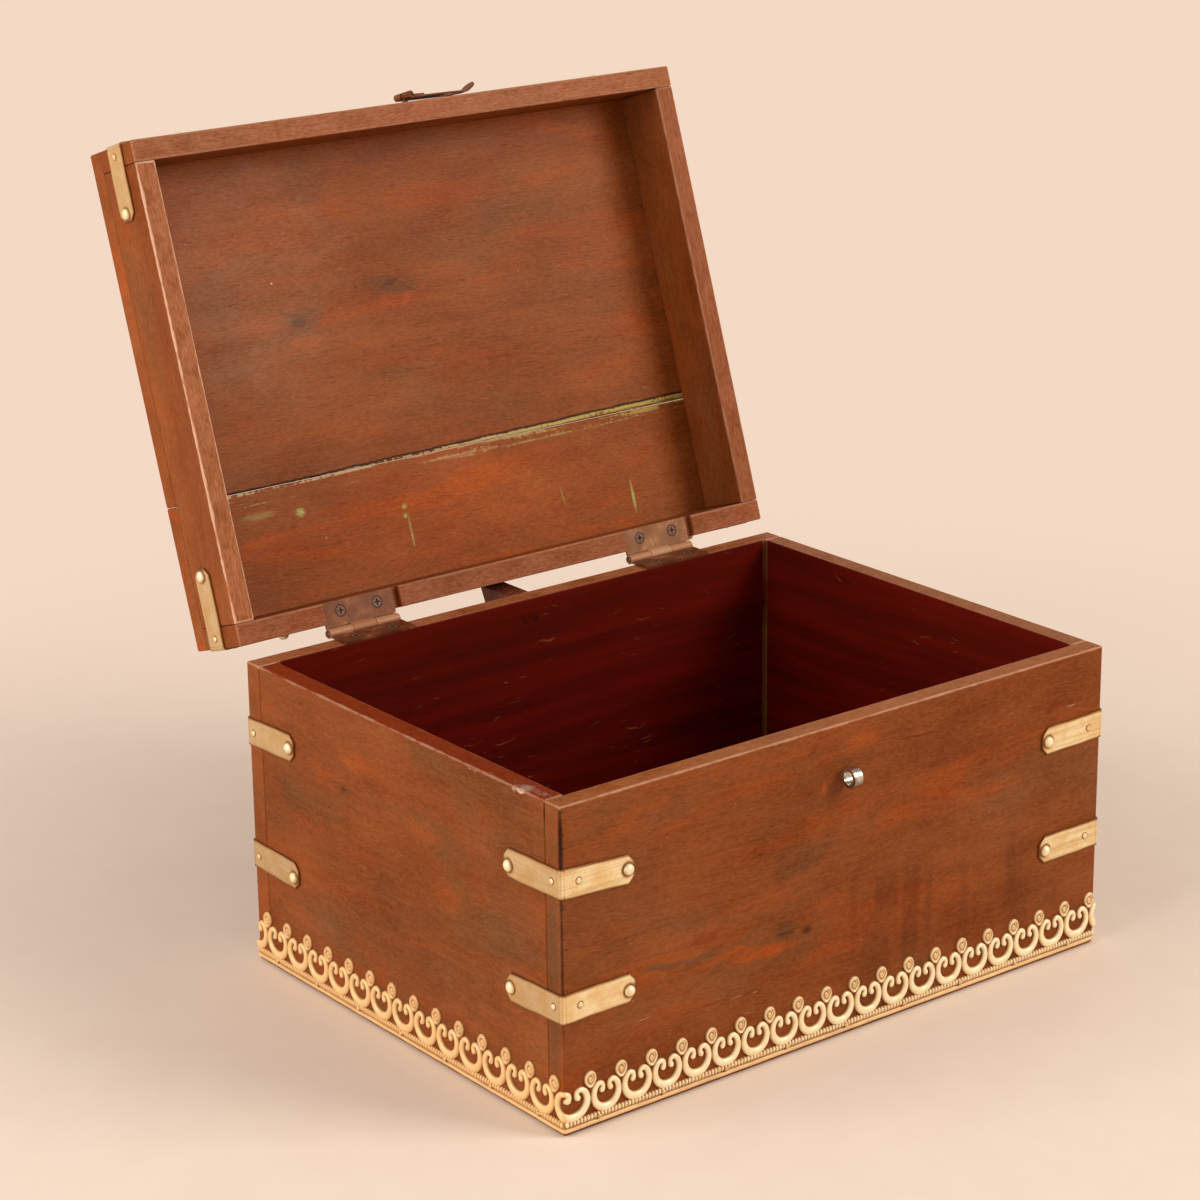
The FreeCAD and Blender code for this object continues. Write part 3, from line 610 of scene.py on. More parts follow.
def on_lid(tint: Tint, x: float, y: float, wide: float, deep: float, strength: float, turn: float = 0.0,
           ragged: float = 0.8, up: float = 6.0) -> Patch:
    """A patch on the underside of the lid's boards, which reaches up into them."""
    return Patch(tint, (x, y, LID_PANEL), (wide, deep, up), strength, (0, 0, turn), ragged)


@dataclass(frozen=True)
class Plank:
    """One board and how its stain turned out."""

    node: str
    grain: Grain
    seed: float
    lid: bool = False
    red: float = 0.4
    dull: float = 0.35
    light: float = 1.0
    dark_inside: bool = False
    # Tone of the rim faces: the boards' own colour there, together with painted light and sheen on these
    # faces
    rim: Colour = paint(166, 102, 66)
    rim_share: float = 0.7
    rim_line: float = 0.5
    ripple: float = 0.0
    joint_paint: bool = False
    patches: tuple[Patch, ...] = ()


@dataclass(frozen=True)
class StainedWood:
    """Walnut-brown stain under a thin satin lacquer, rubbed through along the arrises."""

    body: Colour = paint(132, 69, 30)
    warm: Colour = paint(156, 70, 20)
    dull: Colour = paint(110, 73, 40)
    deep: Colour = paint(74, 32, 13)
    gap_shade: Colour = paint(34, 14, 8)
    worn: Colour = paint(216, 170, 142)
    oxblood: Colour = paint(98, 8, 0)
    oxblood_deep: Colour = paint(60, 3, 0)
    oxblood_lit: Colour = paint(101, 24, 1)
    scratch: Colour = paint(150, 104, 52)
    cream: Colour = paint(206, 178, 134)
    green: Colour = paint(184, 172, 92)
    gloss: float = 0.44
    shine: float = 0.07
    lacquer: float = 0.02
    lacquer_gloss: float = 0.30
    fibre_depth: float = 0.00012
    film: tuple[float, float] = (0.6, 1.9)
    joint_depth: float = 47.0
    joint_slope: float = 0.0127

    def dress(self, plank: Plank, low: np.ndarray, high: np.ndarray) -> bpy.types.Material:
        """Makes the material of one board.

        Args:
            plank: The board.
            low: Lowest corner of the board on the shut box, in millimetres.
            high: Highest corner.

        Returns:
            The material.
        """
        bench = Bench("wood_" + plank.node)
        spot = bench.spot(plank.lid)
        x, y, z = bench.millimetres(spot)
        fibre_way = bench.moved(spot, (plank.seed, plank.seed * 1.7, plank.seed * 0.6), plank.grain.value)
        fibre_way = bench.wander(fibre_way, 5.0, 0.016)
        figure = bench.cloud(fibre_way, (5.0, 26.0, 26.0), detail=4.0, bend=0.9)
        streak = bench.cloud(fibre_way, (6.0, 130.0, 130.0), detail=4.0)
        fibre = bench.cloud(fibre_way, (34.0, 1100.0, 1100.0), detail=3.0, rough=0.6)
        pores = bench.cloud(fibre_way, (130.0, 1500.0, 1500.0), detail=1.0).rise(0.66, 0.80)
        blotch = bench.cloud(fibre_way, (12.0, 28.0, 28.0), detail=5.0)
        swirl = bench.wander(spot, 42.0, 0.014)
        rub = bench.cloud(spot, 70.0, detail=5.0, rough=0.65)
        grit = bench.cloud(spot, 460.0, detail=1.0)
        grain = bench.cloud(fibre_way, (330.0, 1300.0, 1300.0), detail=3.0, rough=0.7)
        band_way = bench.moved(fibre_way, (3.0, 1.0, 2.0), size=(7.0, 42.0, 42.0))
        band = bench.cloud(band_way, 1.0, detail=4.0, bend=1.1)
        haze = bench.cloud(bench.wander(fibre_way, 16.0, 0.03), (13.0, 30.0, 30.0), detail=5.0, rough=0.6)

        colour = bench.mix(band.rise(0.50, 0.68) * plank.red, self.body, self.warm)
        colour = bench.mix(blotch.rise(0.50, 0.34) * plank.dull, colour, self.dull)
        colour = bench.mix(streak.rise(0.48, 0.72) * 0.12, colour, self.deep)
        for patch in plank.patches:
            ground = swirl if patch.flows else spot
            colour = self.patched(bench, colour, patch, ground, rub, grit if patch.gritty else fibre)
        change = fibre * 0.4 + rub * 0.2 + grain * 1.0 + haze * 0.8 + figure * 0.5 - 1.43
        colour = bench.shade(colour, change, plank.light, self.film)
        if plank.ripple:
            bands = bench.cloud(spot, (85.0, 1.0, 9.0), detail=2.0).rise(0.40, 0.62)
            zone = x.rise(-12.0, 14.0) * x.rise(128.0, 96.0) * z.rise(78.0, 58.0)
            colour = bench.shade(colour, bands * zone * -plank.ripple)
        colour = bench.mix(pores * 0.28, colour, self.deep)
        colour = bench.mix(grit.rise(0.77, 0.83) * 0.25, colour, self.worn)
        if plank.joint_paint:
            colour = self.joint_paint(bench, colour, (x, y, z), spot, rub, grit)

        edge = self.edge(x, y, z, low, high)
        # Rim faces get their own tone: partly the boards' colour, partly painted light and sheen on these
        # faces
        rim = abs(z - RIM_LEVEL).rise(1.3, 0.5)
        tone = bench.shade(plank.rim, fibre * 0.5 + rub * 0.9 + grain * 1.3 - 1.36, film=self.film)
        colour = bench.mix(rim * (rub.rise(0.30, 0.50) * 0.4 + 0.6) * plank.rim_share, colour, tone)
        ragged = edge + (rub - 0.5) * 3.0
        near_rim = z.rise(RIM_LEVEL - 1.8, RIM_LEVEL - 0.8) * z.rise(RIM_LEVEL + 1.8, RIM_LEVEL + 0.8)
        line = ragged.rise(1.1, 0.1) * near_rim
        colour = bench.mix((line * plank.rim_line).least(1.0), colour, self.worn)

        gloss = (fibre - 0.5) * 0.16 + (rub - 0.5) * 0.26 + line * 0.15 + self.gloss
        if plank.dark_inside:
            inside = self.inside(x, y, rub)
            colour = bench.mix(inside, colour, self.inside_colour(bench, spot, x, y, z, streak, fibre))
            gloss = gloss + inside * 0.2
        height = fibre * 0.45 - pores * 0.8 + rub * 0.5
        return bench.finish({
            "Base Color": colour, "Roughness": gloss, "Normal": bench.bump(height, self.fibre_depth),
            "Coat Weight": self.lacquer, "Coat Roughness": self.lacquer_gloss,
            "Specular IOR Level": self.shine,
        })

    def edge(self, x: Num, y: Num, z: Num, low: np.ndarray, high: np.ndarray) -> Num:
        """Distance from the board's nearest arris: the middle one of the distances to its sides.

        Args:
            x: First coordinate on the shut box, in millimetres.
            y: Second coordinate.
            z: Third coordinate.
            low: Lowest corner of the board.
            high: Highest corner.

        Returns:
            The distance in millimetres.
        """
        gaps = []
        for way, start, end in zip((x, y, z), low, high):
            gaps.append(abs(way - float(start + end) / 2) * -1.0 + float(end - start) / 2)
        smallest = gaps[0].least(gaps[1]).least(gaps[2])
        largest = gaps[0].most(gaps[1]).most(gaps[2])
        return gaps[0] + gaps[1] + gaps[2] - smallest - largest

    def inside(self, x: Num, y: Num, rub: Num) -> Num:
        """Where the inner faces of the box walls are.

        Args:
            x: First coordinate in millimetres.
            y: Second coordinate.
            rub: Noise that makes the end of the stain at the arris uneven.

        Returns:
            1 on the inner faces, 0 outside.
        """
        wide, deep = GIRTH.inner
        reach = (abs(x) - wide).most(abs(y) - deep)
        return (reach + (rub - 0.5) * 0.6).rise(0.75, 0.35)

    def inside_colour(self, bench: Bench, spot: bpy.types.NodeSocket, x: Num, y: Num, z: Num, streak: Num,
                      fibre: Num) -> bpy.types.NodeSocket:
        """Dark red stain with fine pale scuffs, straw-coloured along the inner corners, and painted light
        near the rim.

        Args:
            bench: Bench of the material.
            spot: Coordinates in metres.
            x: First coordinate in millimetres.
            y: Second coordinate.
            z: Third coordinate.
            streak: Noise drawn along the fibres.
            fibre: Finer noise drawn along the fibres.

        Returns:
            The colour.
        """
        colour = bench.mix(streak.rise(0.30, 0.70) * 0.8, self.oxblood, self.oxblood_deep)
        # Painted light: the inner walls grow paler and browner towards the rim, as light falls into the open
        # box
        colour = bench.mix(z.rise(70.0, 136.0) * 0.25, colour, self.oxblood_lit)
        colour = bench.shade(colour, fibre * 0.5 - 0.25)
        lines = bench.cloud(bench.wander(spot, 40.0, 0.02), (70.0, 70.0, 700.0), detail=2.0)
        patch = bench.cloud(spot, 30.0, detail=3.0)
        colour = bench.mix(lines.rise(0.64, 0.72) * patch.rise(0.50, 0.64) * 0.38, colour, self.scratch)
        wide, deep = GIRTH.inner
        corner = (abs(x) - wide).rise(-2.2, -0.8) * (abs(y) - deep).rise(-2.2, -0.8)
        return bench.mix(corner * patch.rise(0.30, 0.50) * 0.55, colour, self.scratch)

    def patched(self, bench: Bench, colour: Any, patch: Patch, spot: bpy.types.NodeSocket, rub: Num,
                fine: Num) -> bpy.types.NodeSocket:
        """Tints an oval: its share falls from the middle to an outline that noise makes uneven.

        Args:
            bench: Bench of the material.
            colour: The colour so far.
            patch: The patch.
            spot: Coordinates in metres.
            rub: Coarse noise.
            fine: Fine noise.

        Returns:
            The tinted colour.
        """
        reach = bench.within(spot, patch.place, patch.reach, patch.turn)
        share = (reach + (rub - 0.5) * patch.ragged + (fine - 0.5) * patch.ragged * 0.8).rise(1.0, 0.25)
        return bench.mix(share * patch.strength, colour, patch.tint.value)

    def joint_paint(self, bench: Bench, colour: Any, ways: tuple[Num, Num, Num], spot: bpy.types.NodeSocket,
                    rub: Num, grit: Num) -> bpy.types.NodeSocket:
        """Old paint in the joint of the lid's two boards.

        A broken cream line lies beside a dark one, the joint's gap with a painted shadow of the step between
        the boards, with a thinner line and a thin smear further on; the paint is greener to the right.

        Args:
            bench: Bench of the material.
            colour: The colour so far.
            ways: The three coordinates in millimetres.
            spot: Coordinates in metres.
            rub: Coarse noise.
            grit: Fine noise.

        Returns:
            The painted colour.
        """
        x, y, z = ways
        below = z.rise(LID_PANEL + 1.8, LID_PANEL + 0.6)
        breaks = bench.cloud(spot, (30.0, 90.0, 14.0), detail=4.0, rough=0.7)
        thin = bench.cloud(spot, (26.0, 420.0, 14.0), detail=2.0)
        across = y + x * self.joint_slope - self.joint_depth + (rub - 0.5) * 1.4 + (grit - 0.5) * 0.9
        right = x.rise(-60.0, 120.0)
        tone = bench.mix(right, self.cream, self.green)
        # Painted shadow: the dark line is the joint's gap and the shade cast by the step between the boards
        gap = abs(across + 1.0).rise(0.8, 0.25)
        colour = bench.mix(below * gap * (breaks.rise(0.30, 0.46) * 0.5 + 0.35), colour, self.gap_shade)
        line = abs(across - 0.4).rise(1.1, 0.4)
        broken = (breaks + right * 0.08 + (grit - 0.5) * 0.7).rise(0.40, 0.52)
        colour = bench.mix(below * line * broken * 0.85, colour, tone)
        second = abs(across - 6.3 + (breaks - 0.5) * 3.0).rise(0.5, 0.15)
        colour = bench.mix(below * second * (breaks + grit * 0.3).rise(0.62, 0.76) * 0.5, colour, tone)
        smear = abs(across - 3.0).rise(4.2, 0.6)
        streaks = (thin + breaks * 0.5 + right * 0.05 + (grit - 0.5) * 0.4).rise(0.80, 0.96)
        return bench.mix(below * smear * streaks * 0.6, colour, tone)


@dataclass(frozen=True)
class Brass:
    """Rolled or stamped brass, hand-rubbed: satin, darker where hands and cloth do not reach and with painted
    shade.
    """

    name: str
    bright: Colour = paint(255, 238, 192)
    body: Colour = paint(244, 212, 154)
    patina_and_shade: Colour = paint(180, 128, 70)
    # Darkest tone, for patina and painted shade in the lowest relief
    recess: Colour = paint(116, 72, 36)
    gloss: float = 0.36
    brushed: Union[float, Point] = (24.0, 24.0, 1500.0)
    brush: float = 0.40
    metal: float = 0.85
    hollow: float = 0.85
    left_darkening: float = 0.0
    brush_depth: float = 0.00014

    def dress(self, lid: bool = False) -> bpy.types.Material:
        """Makes the material, with patina and painted shade where the piece's relief is low.

        Args:
            lid: The piece is on the lid, so that its pattern is laid out on the shut lid.

        Returns:
            The material.
        """
        bench = Bench(self.name + ("_lid" if lid else ""))
        spot = bench.spot(lid)
        cloud = bench.cloud(spot, 110.0, detail=4.0, rough=0.6)
        speck = bench.cloud(spot, 620.0, detail=3.0)
        brushing = bench.cloud(spot, self.brushed, detail=3.0)
        colour = bench.mix(cloud.rise(0.36, 0.66), self.bright, self.body)
        colour = bench.mix(speck.rise(0.62, 0.80) * 0.4, colour, self.patina_and_shade)
        colour = bench.mix(brushing.rise(0.44, 0.72) * self.brush, colour, self.patina_and_shade)
        # The brass on the left end wall is made darker
        if self.left_darkening:
            left = bench.millimetres(spot)[0].rise(0.5 - GIRTH.half_width, -0.5 - GIRTH.half_width)
            colour = bench.mix(left * self.left_darkening, colour, self.patina_and_shade)
        gloss = (cloud - 0.5) * 0.24 + (brushing - 0.5) * 0.2 + self.gloss
        # Patina and painted shade: low relief at edges, round heads and where wire meets wood is painted
        # darker
        low = bench.relief() + (cloud - 0.5) * 0.35
        colour = bench.mix(low.rise(0.80, 0.30) * 0.85, colour, self.patina_and_shade)
        colour = bench.mix(low.rise(0.46, 0.08) * self.hollow, colour, self.recess)
        gloss = gloss + low.rise(0.5, 0.1) * 0.15
        height = brushing * 0.35 + speck * 0.3 + cloud * 0.5
        return bench.finish({
            "Base Color": colour, "Roughness": gloss, "Metallic": self.metal,
            "Normal": bench.bump(height, self.brush_depth),
        })


@dataclass(frozen=True)
class PaintedSteel:
    """Thin brown paint on pressed steel, chipped and rubbed pale, with painted light on knuckles and screws.
    """

    name: str
    coat: Colour = paint(108, 74, 58)
    dark: Colour = paint(62, 38, 28)
    rubbed_and_lit: Colour = paint(168, 134, 108)
    # Colour of the painted shadow round screw heads and of the painted shade in their crosses
    hollow: Colour = paint(34, 18, 12)
    gloss: float = 0.42
    metal: float = 0.25
    shine: float = 0.3
    chip_depth: float = 0.0002
    screws: bool = False
    knuckles: bool = False
    lid: bool = False

    def dress(self) -> bpy.types.Material:
        """Makes the material.

        Returns:
            The material.
        """
        bench = Bench(self.name)
        spot = bench.spot(self.lid)
        cloud = bench.cloud(spot, 110.0, detail=5.0, rough=0.62)
        grit = bench.cloud(spot, 900.0, detail=3.0)
        colour = bench.mix(cloud.rise(0.40, 0.68), self.dark, self.coat)
        colour = bench.mix((cloud * 0.7 + grit * 0.3).rise(0.56, 0.70) * 0.8, colour, self.rubbed_and_lit)
        # Painted light: the knuckles are painted in the pale tone, brighter than the flat leaf
        if self.knuckles:
            deep = bench.millimetres(spot)[1].rise(HINGE.knuckle_depth - 0.6, HINGE.knuckle_depth + 0.6)
            colour = bench.mix(deep * 0.85, colour, self.rubbed_and_lit)
        if self.screws:
            colour = self.screwed(bench, colour, spot)
        gloss = (grit - 0.5) * 0.3 + self.gloss
        return bench.finish({
            "Base Color": colour, "Roughness": gloss, "Metallic": self.metal,
            "Specular IOR Level": self.shine, "Normal": bench.bump(cloud * 0.6 + grit * 0.4, self.chip_depth),
        })

    def screwed(self, bench: Bench, colour: Any, spot: bpy.types.NodeSocket) -> bpy.types.NodeSocket:
        """Paints each screw head with a painted highlight, a painted shadow round it and painted shade in its
        cross.

        Args:
            bench: Bench of the material.
            colour: The colour so far.
            spot: Coordinates in metres.

        Returns:
            The colour with the screw heads.
        """
        x, y, _ = bench.millimetres(spot)
        across, along = abs(abs(x) - HINGE.middle) - HINGE.screw_way, y - HINGE.screw_depth
        away = (across * across + along * along) ** 0.5
        # Painted highlight on each head; painted shadow in the ring round it; painted shade in the cross
        colour = bench.mix(away.rise(2.4, 1.8) * 0.6, colour, self.rubbed_and_lit)
        ring = away.rise(3.3, 2.6) * away.rise(1.9, 2.4)
        cross = abs(across).rise(0.6, 0.3).most(abs(along).rise(0.6, 0.3)) * away.rise(1.8, 1.4)
        return bench.mix((ring * 0.8).most(cross), colour, self.hollow)


@dataclass(frozen=True)
class RawWood:
    """Plain scrap wood, roughly stained."""

    name: str
    light: Colour = paint(136, 62, 28)
    dark: Colour = paint(88, 28, 10)
    fibre_depth: float = 0.0003

    def dress(self) -> bpy.types.Material:
        """Makes the material.

        Returns:
            The material.
        """
        bench = Bench(self.name)
        spot = bench.spot()
        fibre = bench.cloud(spot, (700.0, 700.0, 24.0), detail=4.0)
        cloud = bench.cloud(spot, (60.0, 60.0, 30.0), detail=4.0)
        colour = bench.mix((fibre * 0.6 + cloud * 0.4).rise(0.36, 0.66), self.dark, self.light)
        return bench.finish({
            "Base Color": colour, "Roughness": fibre * 0.2 + 0.55,
            "Normal": bench.bump(fibre + cloud * 0.5, self.fibre_depth),
        })


# Sub-assemblies

def wear(node: str, material: bpy.types.Material) -> None:
    """Puts one material on a carried-over node.

    Args:
        node: Name of the node.
        material: Its finish.
    """
    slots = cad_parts[node].data.materials
    slots.clear()
    slots.append(material)
    LOG.info("%s dressed with %s", node, material.name)


def place(thing: bpy.types.Object, body: str, slot: str, nodes: Sequence[str],
          material: bpy.types.Material) -> None:
    """Finishes a new piece: its material, the body it rides on, and the nodes it stands for.

    Args:
        thing: The piece.
        body: Body that carries it.
        slot: Not used.
        nodes: Nodes that it replaces.
        material: Its finish.
    """
    thing.data.materials.append(material)
    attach(thing, body)
    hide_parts(*nodes)
    LOG.info("%s stands for %s", thing.name, ", ".join(nodes))


# Marks on the front board and at its left corner
FRONT_MARKS: tuple[Patch, ...] = (
    Patch(Tint.DEEP, (-152.4, -114.3, 122), (2.0, 2.0, 36), 1.0, ragged=0.7),
    Patch(Tint.DEEP, (-152.4, -114.3, 76), (1.3, 1.3, 46), 0.75, ragged=0.7),
    on_front(Tint.DULL, -128, 100, 40, 46, 0.35),
    Patch(Tint.DULL, (-152.5, -108.5, 72), (0.7, 6.5, 78), 0.65, ragged=0.4),
    on_front(Tint.WARM, -46, 52.5, 26, 4.5, 0.85),
    on_front(Tint.RED, -78, 67, 16, 4, 0.35),
    on_front(Tint.RED, 128, 122, 16, 3, 0.4),
    on_front(Tint.DULL, -90, 60.0, 30, 3.0, 0.85, 1.0),
    on_front(Tint.WARM, -62, 55.5, 30, 1.6, 0.6),
    on_front(Tint.DULL, -34, 57.5, 9, 6, 0.7),
    on_front(Tint.DEEP, -22.3, 55.0, 4, 2.4, 0.65),
    on_front(Tint.DEEP, -34, 56.5, 7, 1.0, 0.4, 8),
    on_front(Tint.WARM, -13.3, 116.4, 1.6, 5, 0.7),
    on_front(Tint.WARM, -19.6, 104.3, 5, 5, 0.35),
    on_front(Tint.DULL, -98, 127.8, 26, 8, 0.4),
    on_front(Tint.DULL, -27, 88, 30, 12, 0.4),
    on_front(Tint.DEEP, 20, 85, 95, 28, 0.07),
    on_front(Tint.DULL, -89.5, 79.4, 28, 8, 0.35),
    on_front(Tint.WARM, 56.3, 101, 26, 9, 0.4),
    on_front(Tint.WARM, 28, 95.6, 16, 7, 0.35),
    on_front(Tint.WARM, 9, 133, 15, 5, 0.5),
    on_front(Tint.DEEP, 45, 127.7, 19, 0.9, 0.45),
    on_front(Tint.PALE, 133.5, 119.6, 4.2, 0.35, 0.7, -2, 0.3),
    on_front(Tint.DEEP, -150, 82, 0.5, 0.5, 0.9),
    on_front(Tint.WARM, 32, 51, 60, 15, 0.35),
    on_front(Tint.WARM, -9, 42, 24, 6, 0.4),
    on_front(Tint.PALE, -61, 35.1, 4, 0.3, 0.4, -3, 0.4),
    on_front(Tint.PALE, -55, 26.1, 3, 0.3, 0.35, 2, 0.4),
    on_front(Tint.PALE, -51, 34.5, 1.6, 0.3, 0.5, -6, 0.4),
    on_front(Tint.PALE, -111, 40.0, 5, 0.3, 0.3, -2, 0.4),
)

# Marks on the left end board
LEFT_MARKS: tuple[Patch, ...] = (
    Patch(Tint.DEEP, (-152.5, -104.3, 138), (1.2, 0.7, 9), 0.9, ragged=0.6),
    Patch(Tint.WHITE, (-151.8, -72, 143.4), (1.2, 26, 1.2), 0.8, ragged=2.6),
    Patch(Tint.WHITE, (-149.0, -92, 143.5), (3.0, 12, 1.2), 0.7, ragged=3.2),
    on_left(Tint.DULL, -84, 92, 32, 50, 0.3),
    on_left(Tint.DULL, 0, 40, 110, 40, 0.3),
    on_left(Tint.DEEP, 39.9, 105.0, 3.2, 1.6, 0.75),
    on_left(Tint.DULL, 40.0, 105.0, 11, 4, 0.4),
    on_left(Tint.WARM, 27.6, 121, 24, 7, 0.4),
    on_left(Tint.WARM, -19.6, 102.9, 20, 8, 0.4),
    on_left(Tint.WARM, -38.2, 78.6, 20, 9, 0.35),
    on_left(Tint.DULL, 98.8, 78, 26, 11, 0.25),
    on_left(Tint.DULL, 8.6, 67, 34, 10, 0.25),
)

# Marks on the lid's wide board, and a painted sheen on its left part
LID_WIDE_MARKS: tuple[Patch, ...] = (
    on_lid(Tint.DULL, -68.6, -24.8, 20, 7, 0.6),
    on_lid(Tint.DEEP, -68.6, -23.4, 6, 3.2, 0.5),
    on_lid(Tint.DEEP, -72.0, -27.8, 9, 1.2, 0.4, 14),
    on_lid(Tint.DULL, -12.5, -33.7, 22, 6, 0.6),
    on_lid(Tint.DEEP, -14.0, -35.0, 8, 1.6, 0.45, -16),
    on_lid(Tint.DEEP, -4.0, -30.4, 5, 1.0, 0.4, 24),
    Patch(Tint.DEEP, (-152.5, 48.0, 178.0), (1.2, 0.6, 9), 0.35),
    on_lid(Tint.WARM, -13.2, -26.4, 16, 4, 0.5),
    on_lid(Tint.WARM, -66, -14, 16, 4, 0.4),
    on_lid(Tint.DULL, 90, -30, 75, 70, 0.2),
    # Painted sheen: a faint pale haze over the left part of the panel
    on_lid(Tint.PALE, -90, -45, 70, 70, 0.07),
    on_lid(Tint.WHITE, -78.9, -43.6, 0.8, 0.6, 0.95, ragged=0.2, up=2),
    on_lid(Tint.GREEN, 126.8, 46.6, 5, 2.2, 0.7, up=3),
)

# Marks on the lid's narrow board
LID_NARROW_MARKS: tuple[Patch, ...] = (
    on_lid(Tint.WARM, 0, 78, 160, 40, 0.4),
    on_lid(Tint.OLIVE, -89.3, 62.5, 3.4, 2.8, 1.0, ragged=1.2, up=3),
    Patch(Tint.DEEP, (-152.5, 48.0, 178.0), (1.2, 0.6, 9), 0.35),
    on_lid(Tint.OLIVE, -33.2, 70.1, 2.2, 1.8, 1.0, up=3),
    on_lid(Tint.OLIVE, -33.6, 74.6, 1.5, 2.0, 1.0, up=3),
    on_lid(Tint.OLIVE, -32.0, 82.0, 0.9, 11.0, 0.75, ragged=0.7, up=3),
    on_lid(Tint.OLIVE, -78.7, 76.5, 0.8, 0.8, 0.7, up=3),
    on_lid(Tint.OLIVE, 99.9, 89.5, 1.2, 10.5, 1.0, ragged=0.7, up=3),
    on_lid(Tint.GREEN, 57.9, 82.0, 0.8, 7.4, 0.55, -6, 0.6, up=3),
    on_lid(Tint.OLIVE, -112, 60.0, 14, 2.4, 0.35, up=3),
)


@dataclass
class Boards:
    """The boards of box and lid, each with fibres of its own."""

    wood: StainedWood = StainedWood()
    planks: tuple[Plank, ...] = (
        Plank("front_board", Grain.WIDTH, 0.31, dark_inside=True, red=0.5, dull=0.4, light=0.97,
              rim=paint(158, 94, 52), rim_line=0.5, ripple=0.24, patches=FRONT_MARKS),
        Plank("back_board", Grain.WIDTH, 1.27, dark_inside=True),
        Plank("left_end_board", Grain.DEPTH, 2.43, dark_inside=True, red=0.3, dull=0.55, light=0.95,
              rim=paint(126, 42, 14), rim_share=0.85, rim_line=0.38, patches=LEFT_MARKS),
        Plank("right_end_board", Grain.DEPTH, 3.71, dark_inside=True, rim=paint(150, 92, 56), rim_line=0.5),
        Plank("bottom_board", Grain.WIDTH, 4.12, dark_inside=True),
        Plank("lid_front_rail", Grain.WIDTH, 5.33, lid=True, rim=paint(160, 98, 62), rim_line=0.3,
              patches=(Patch(Tint.DEEP, (-83.6, -114.0, 143.7), (1.6, 1.6, 1.6), 0.8),)),
        Plank("lid_back_rail", Grain.WIDTH, 6.18, lid=True, red=0.6, rim=paint(158, 92, 60), rim_line=0.25),
        Plank("lid_left_rail", Grain.DEPTH, 7.77, lid=True, light=0.99, rim=paint(168, 102, 62),
              rim_share=0.8, rim_line=1.3),
        Plank("lid_right_rail", Grain.DEPTH, 8.52, lid=True, red=0.6, rim=paint(148, 86, 52), rim_line=0.35),
        Plank("lid_top_wide", Grain.WIDTH, 9.41, lid=True, red=0.45, dull=0.4, light=1.11,
              joint_paint=True, patches=LID_WIDE_MARKS),
        Plank("lid_top_narrow", Grain.WIDTH, 10.36, lid=True, red=0.9, dull=0.1, light=1.14,
              joint_paint=True, patches=LID_NARROW_MARKS),
    )

    def dress(self) -> None:
        """Gives each board its own wood, fitted to the board's size on the shut box."""
        for plank in self.planks:
            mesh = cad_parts[plank.node].data
            points = np.empty(len(mesh.vertices) * 3)
            mesh.vertices.foreach_get("co", points)
            points = points.reshape(-1, 3) / MM
            if plank.lid:
                points = SWING.shut(points)
            wear(plank.node, self.wood.dress(plank, points.min(axis=0), points.max(axis=0)))


class Corner(Enum):
    """Upright corners in the order of the girth."""

    FRONT_LEFT = 0
    FRONT_RIGHT = 1
    BACK_RIGHT = 2
    BACK_LEFT = 3


class Tier(Enum):
    """Rows of straps."""

    UPPER = 1
    LOWER = 2
    LID = 3

    @property
    def body(self) -> str:
        """Body that carries the row."""
        return "lid" if self is Tier.LID else "box"


@dataclass(frozen=True)
class Lay:
    """How one strap was nailed on: heights of its middle at one end, at the corner and at the other end."""

    tier: Tier
    corner: Corner
    first: float
    middle: float
    last: float
    legs: tuple[float, float] = (37.0, 37.0)

    @property
    def name(self) -> str:
        """Row and corner in words."""
        return f"{self.tier.name}_{self.corner.name}".lower()

    def level(self, span: np.ndarray) -> np.ndarray:
        """Height of the strap's middle line at a way from the corner."""
        return np.interp(span, [-self.legs[0], 0.0, self.legs[1]], [self.first, self.middle, self.last])


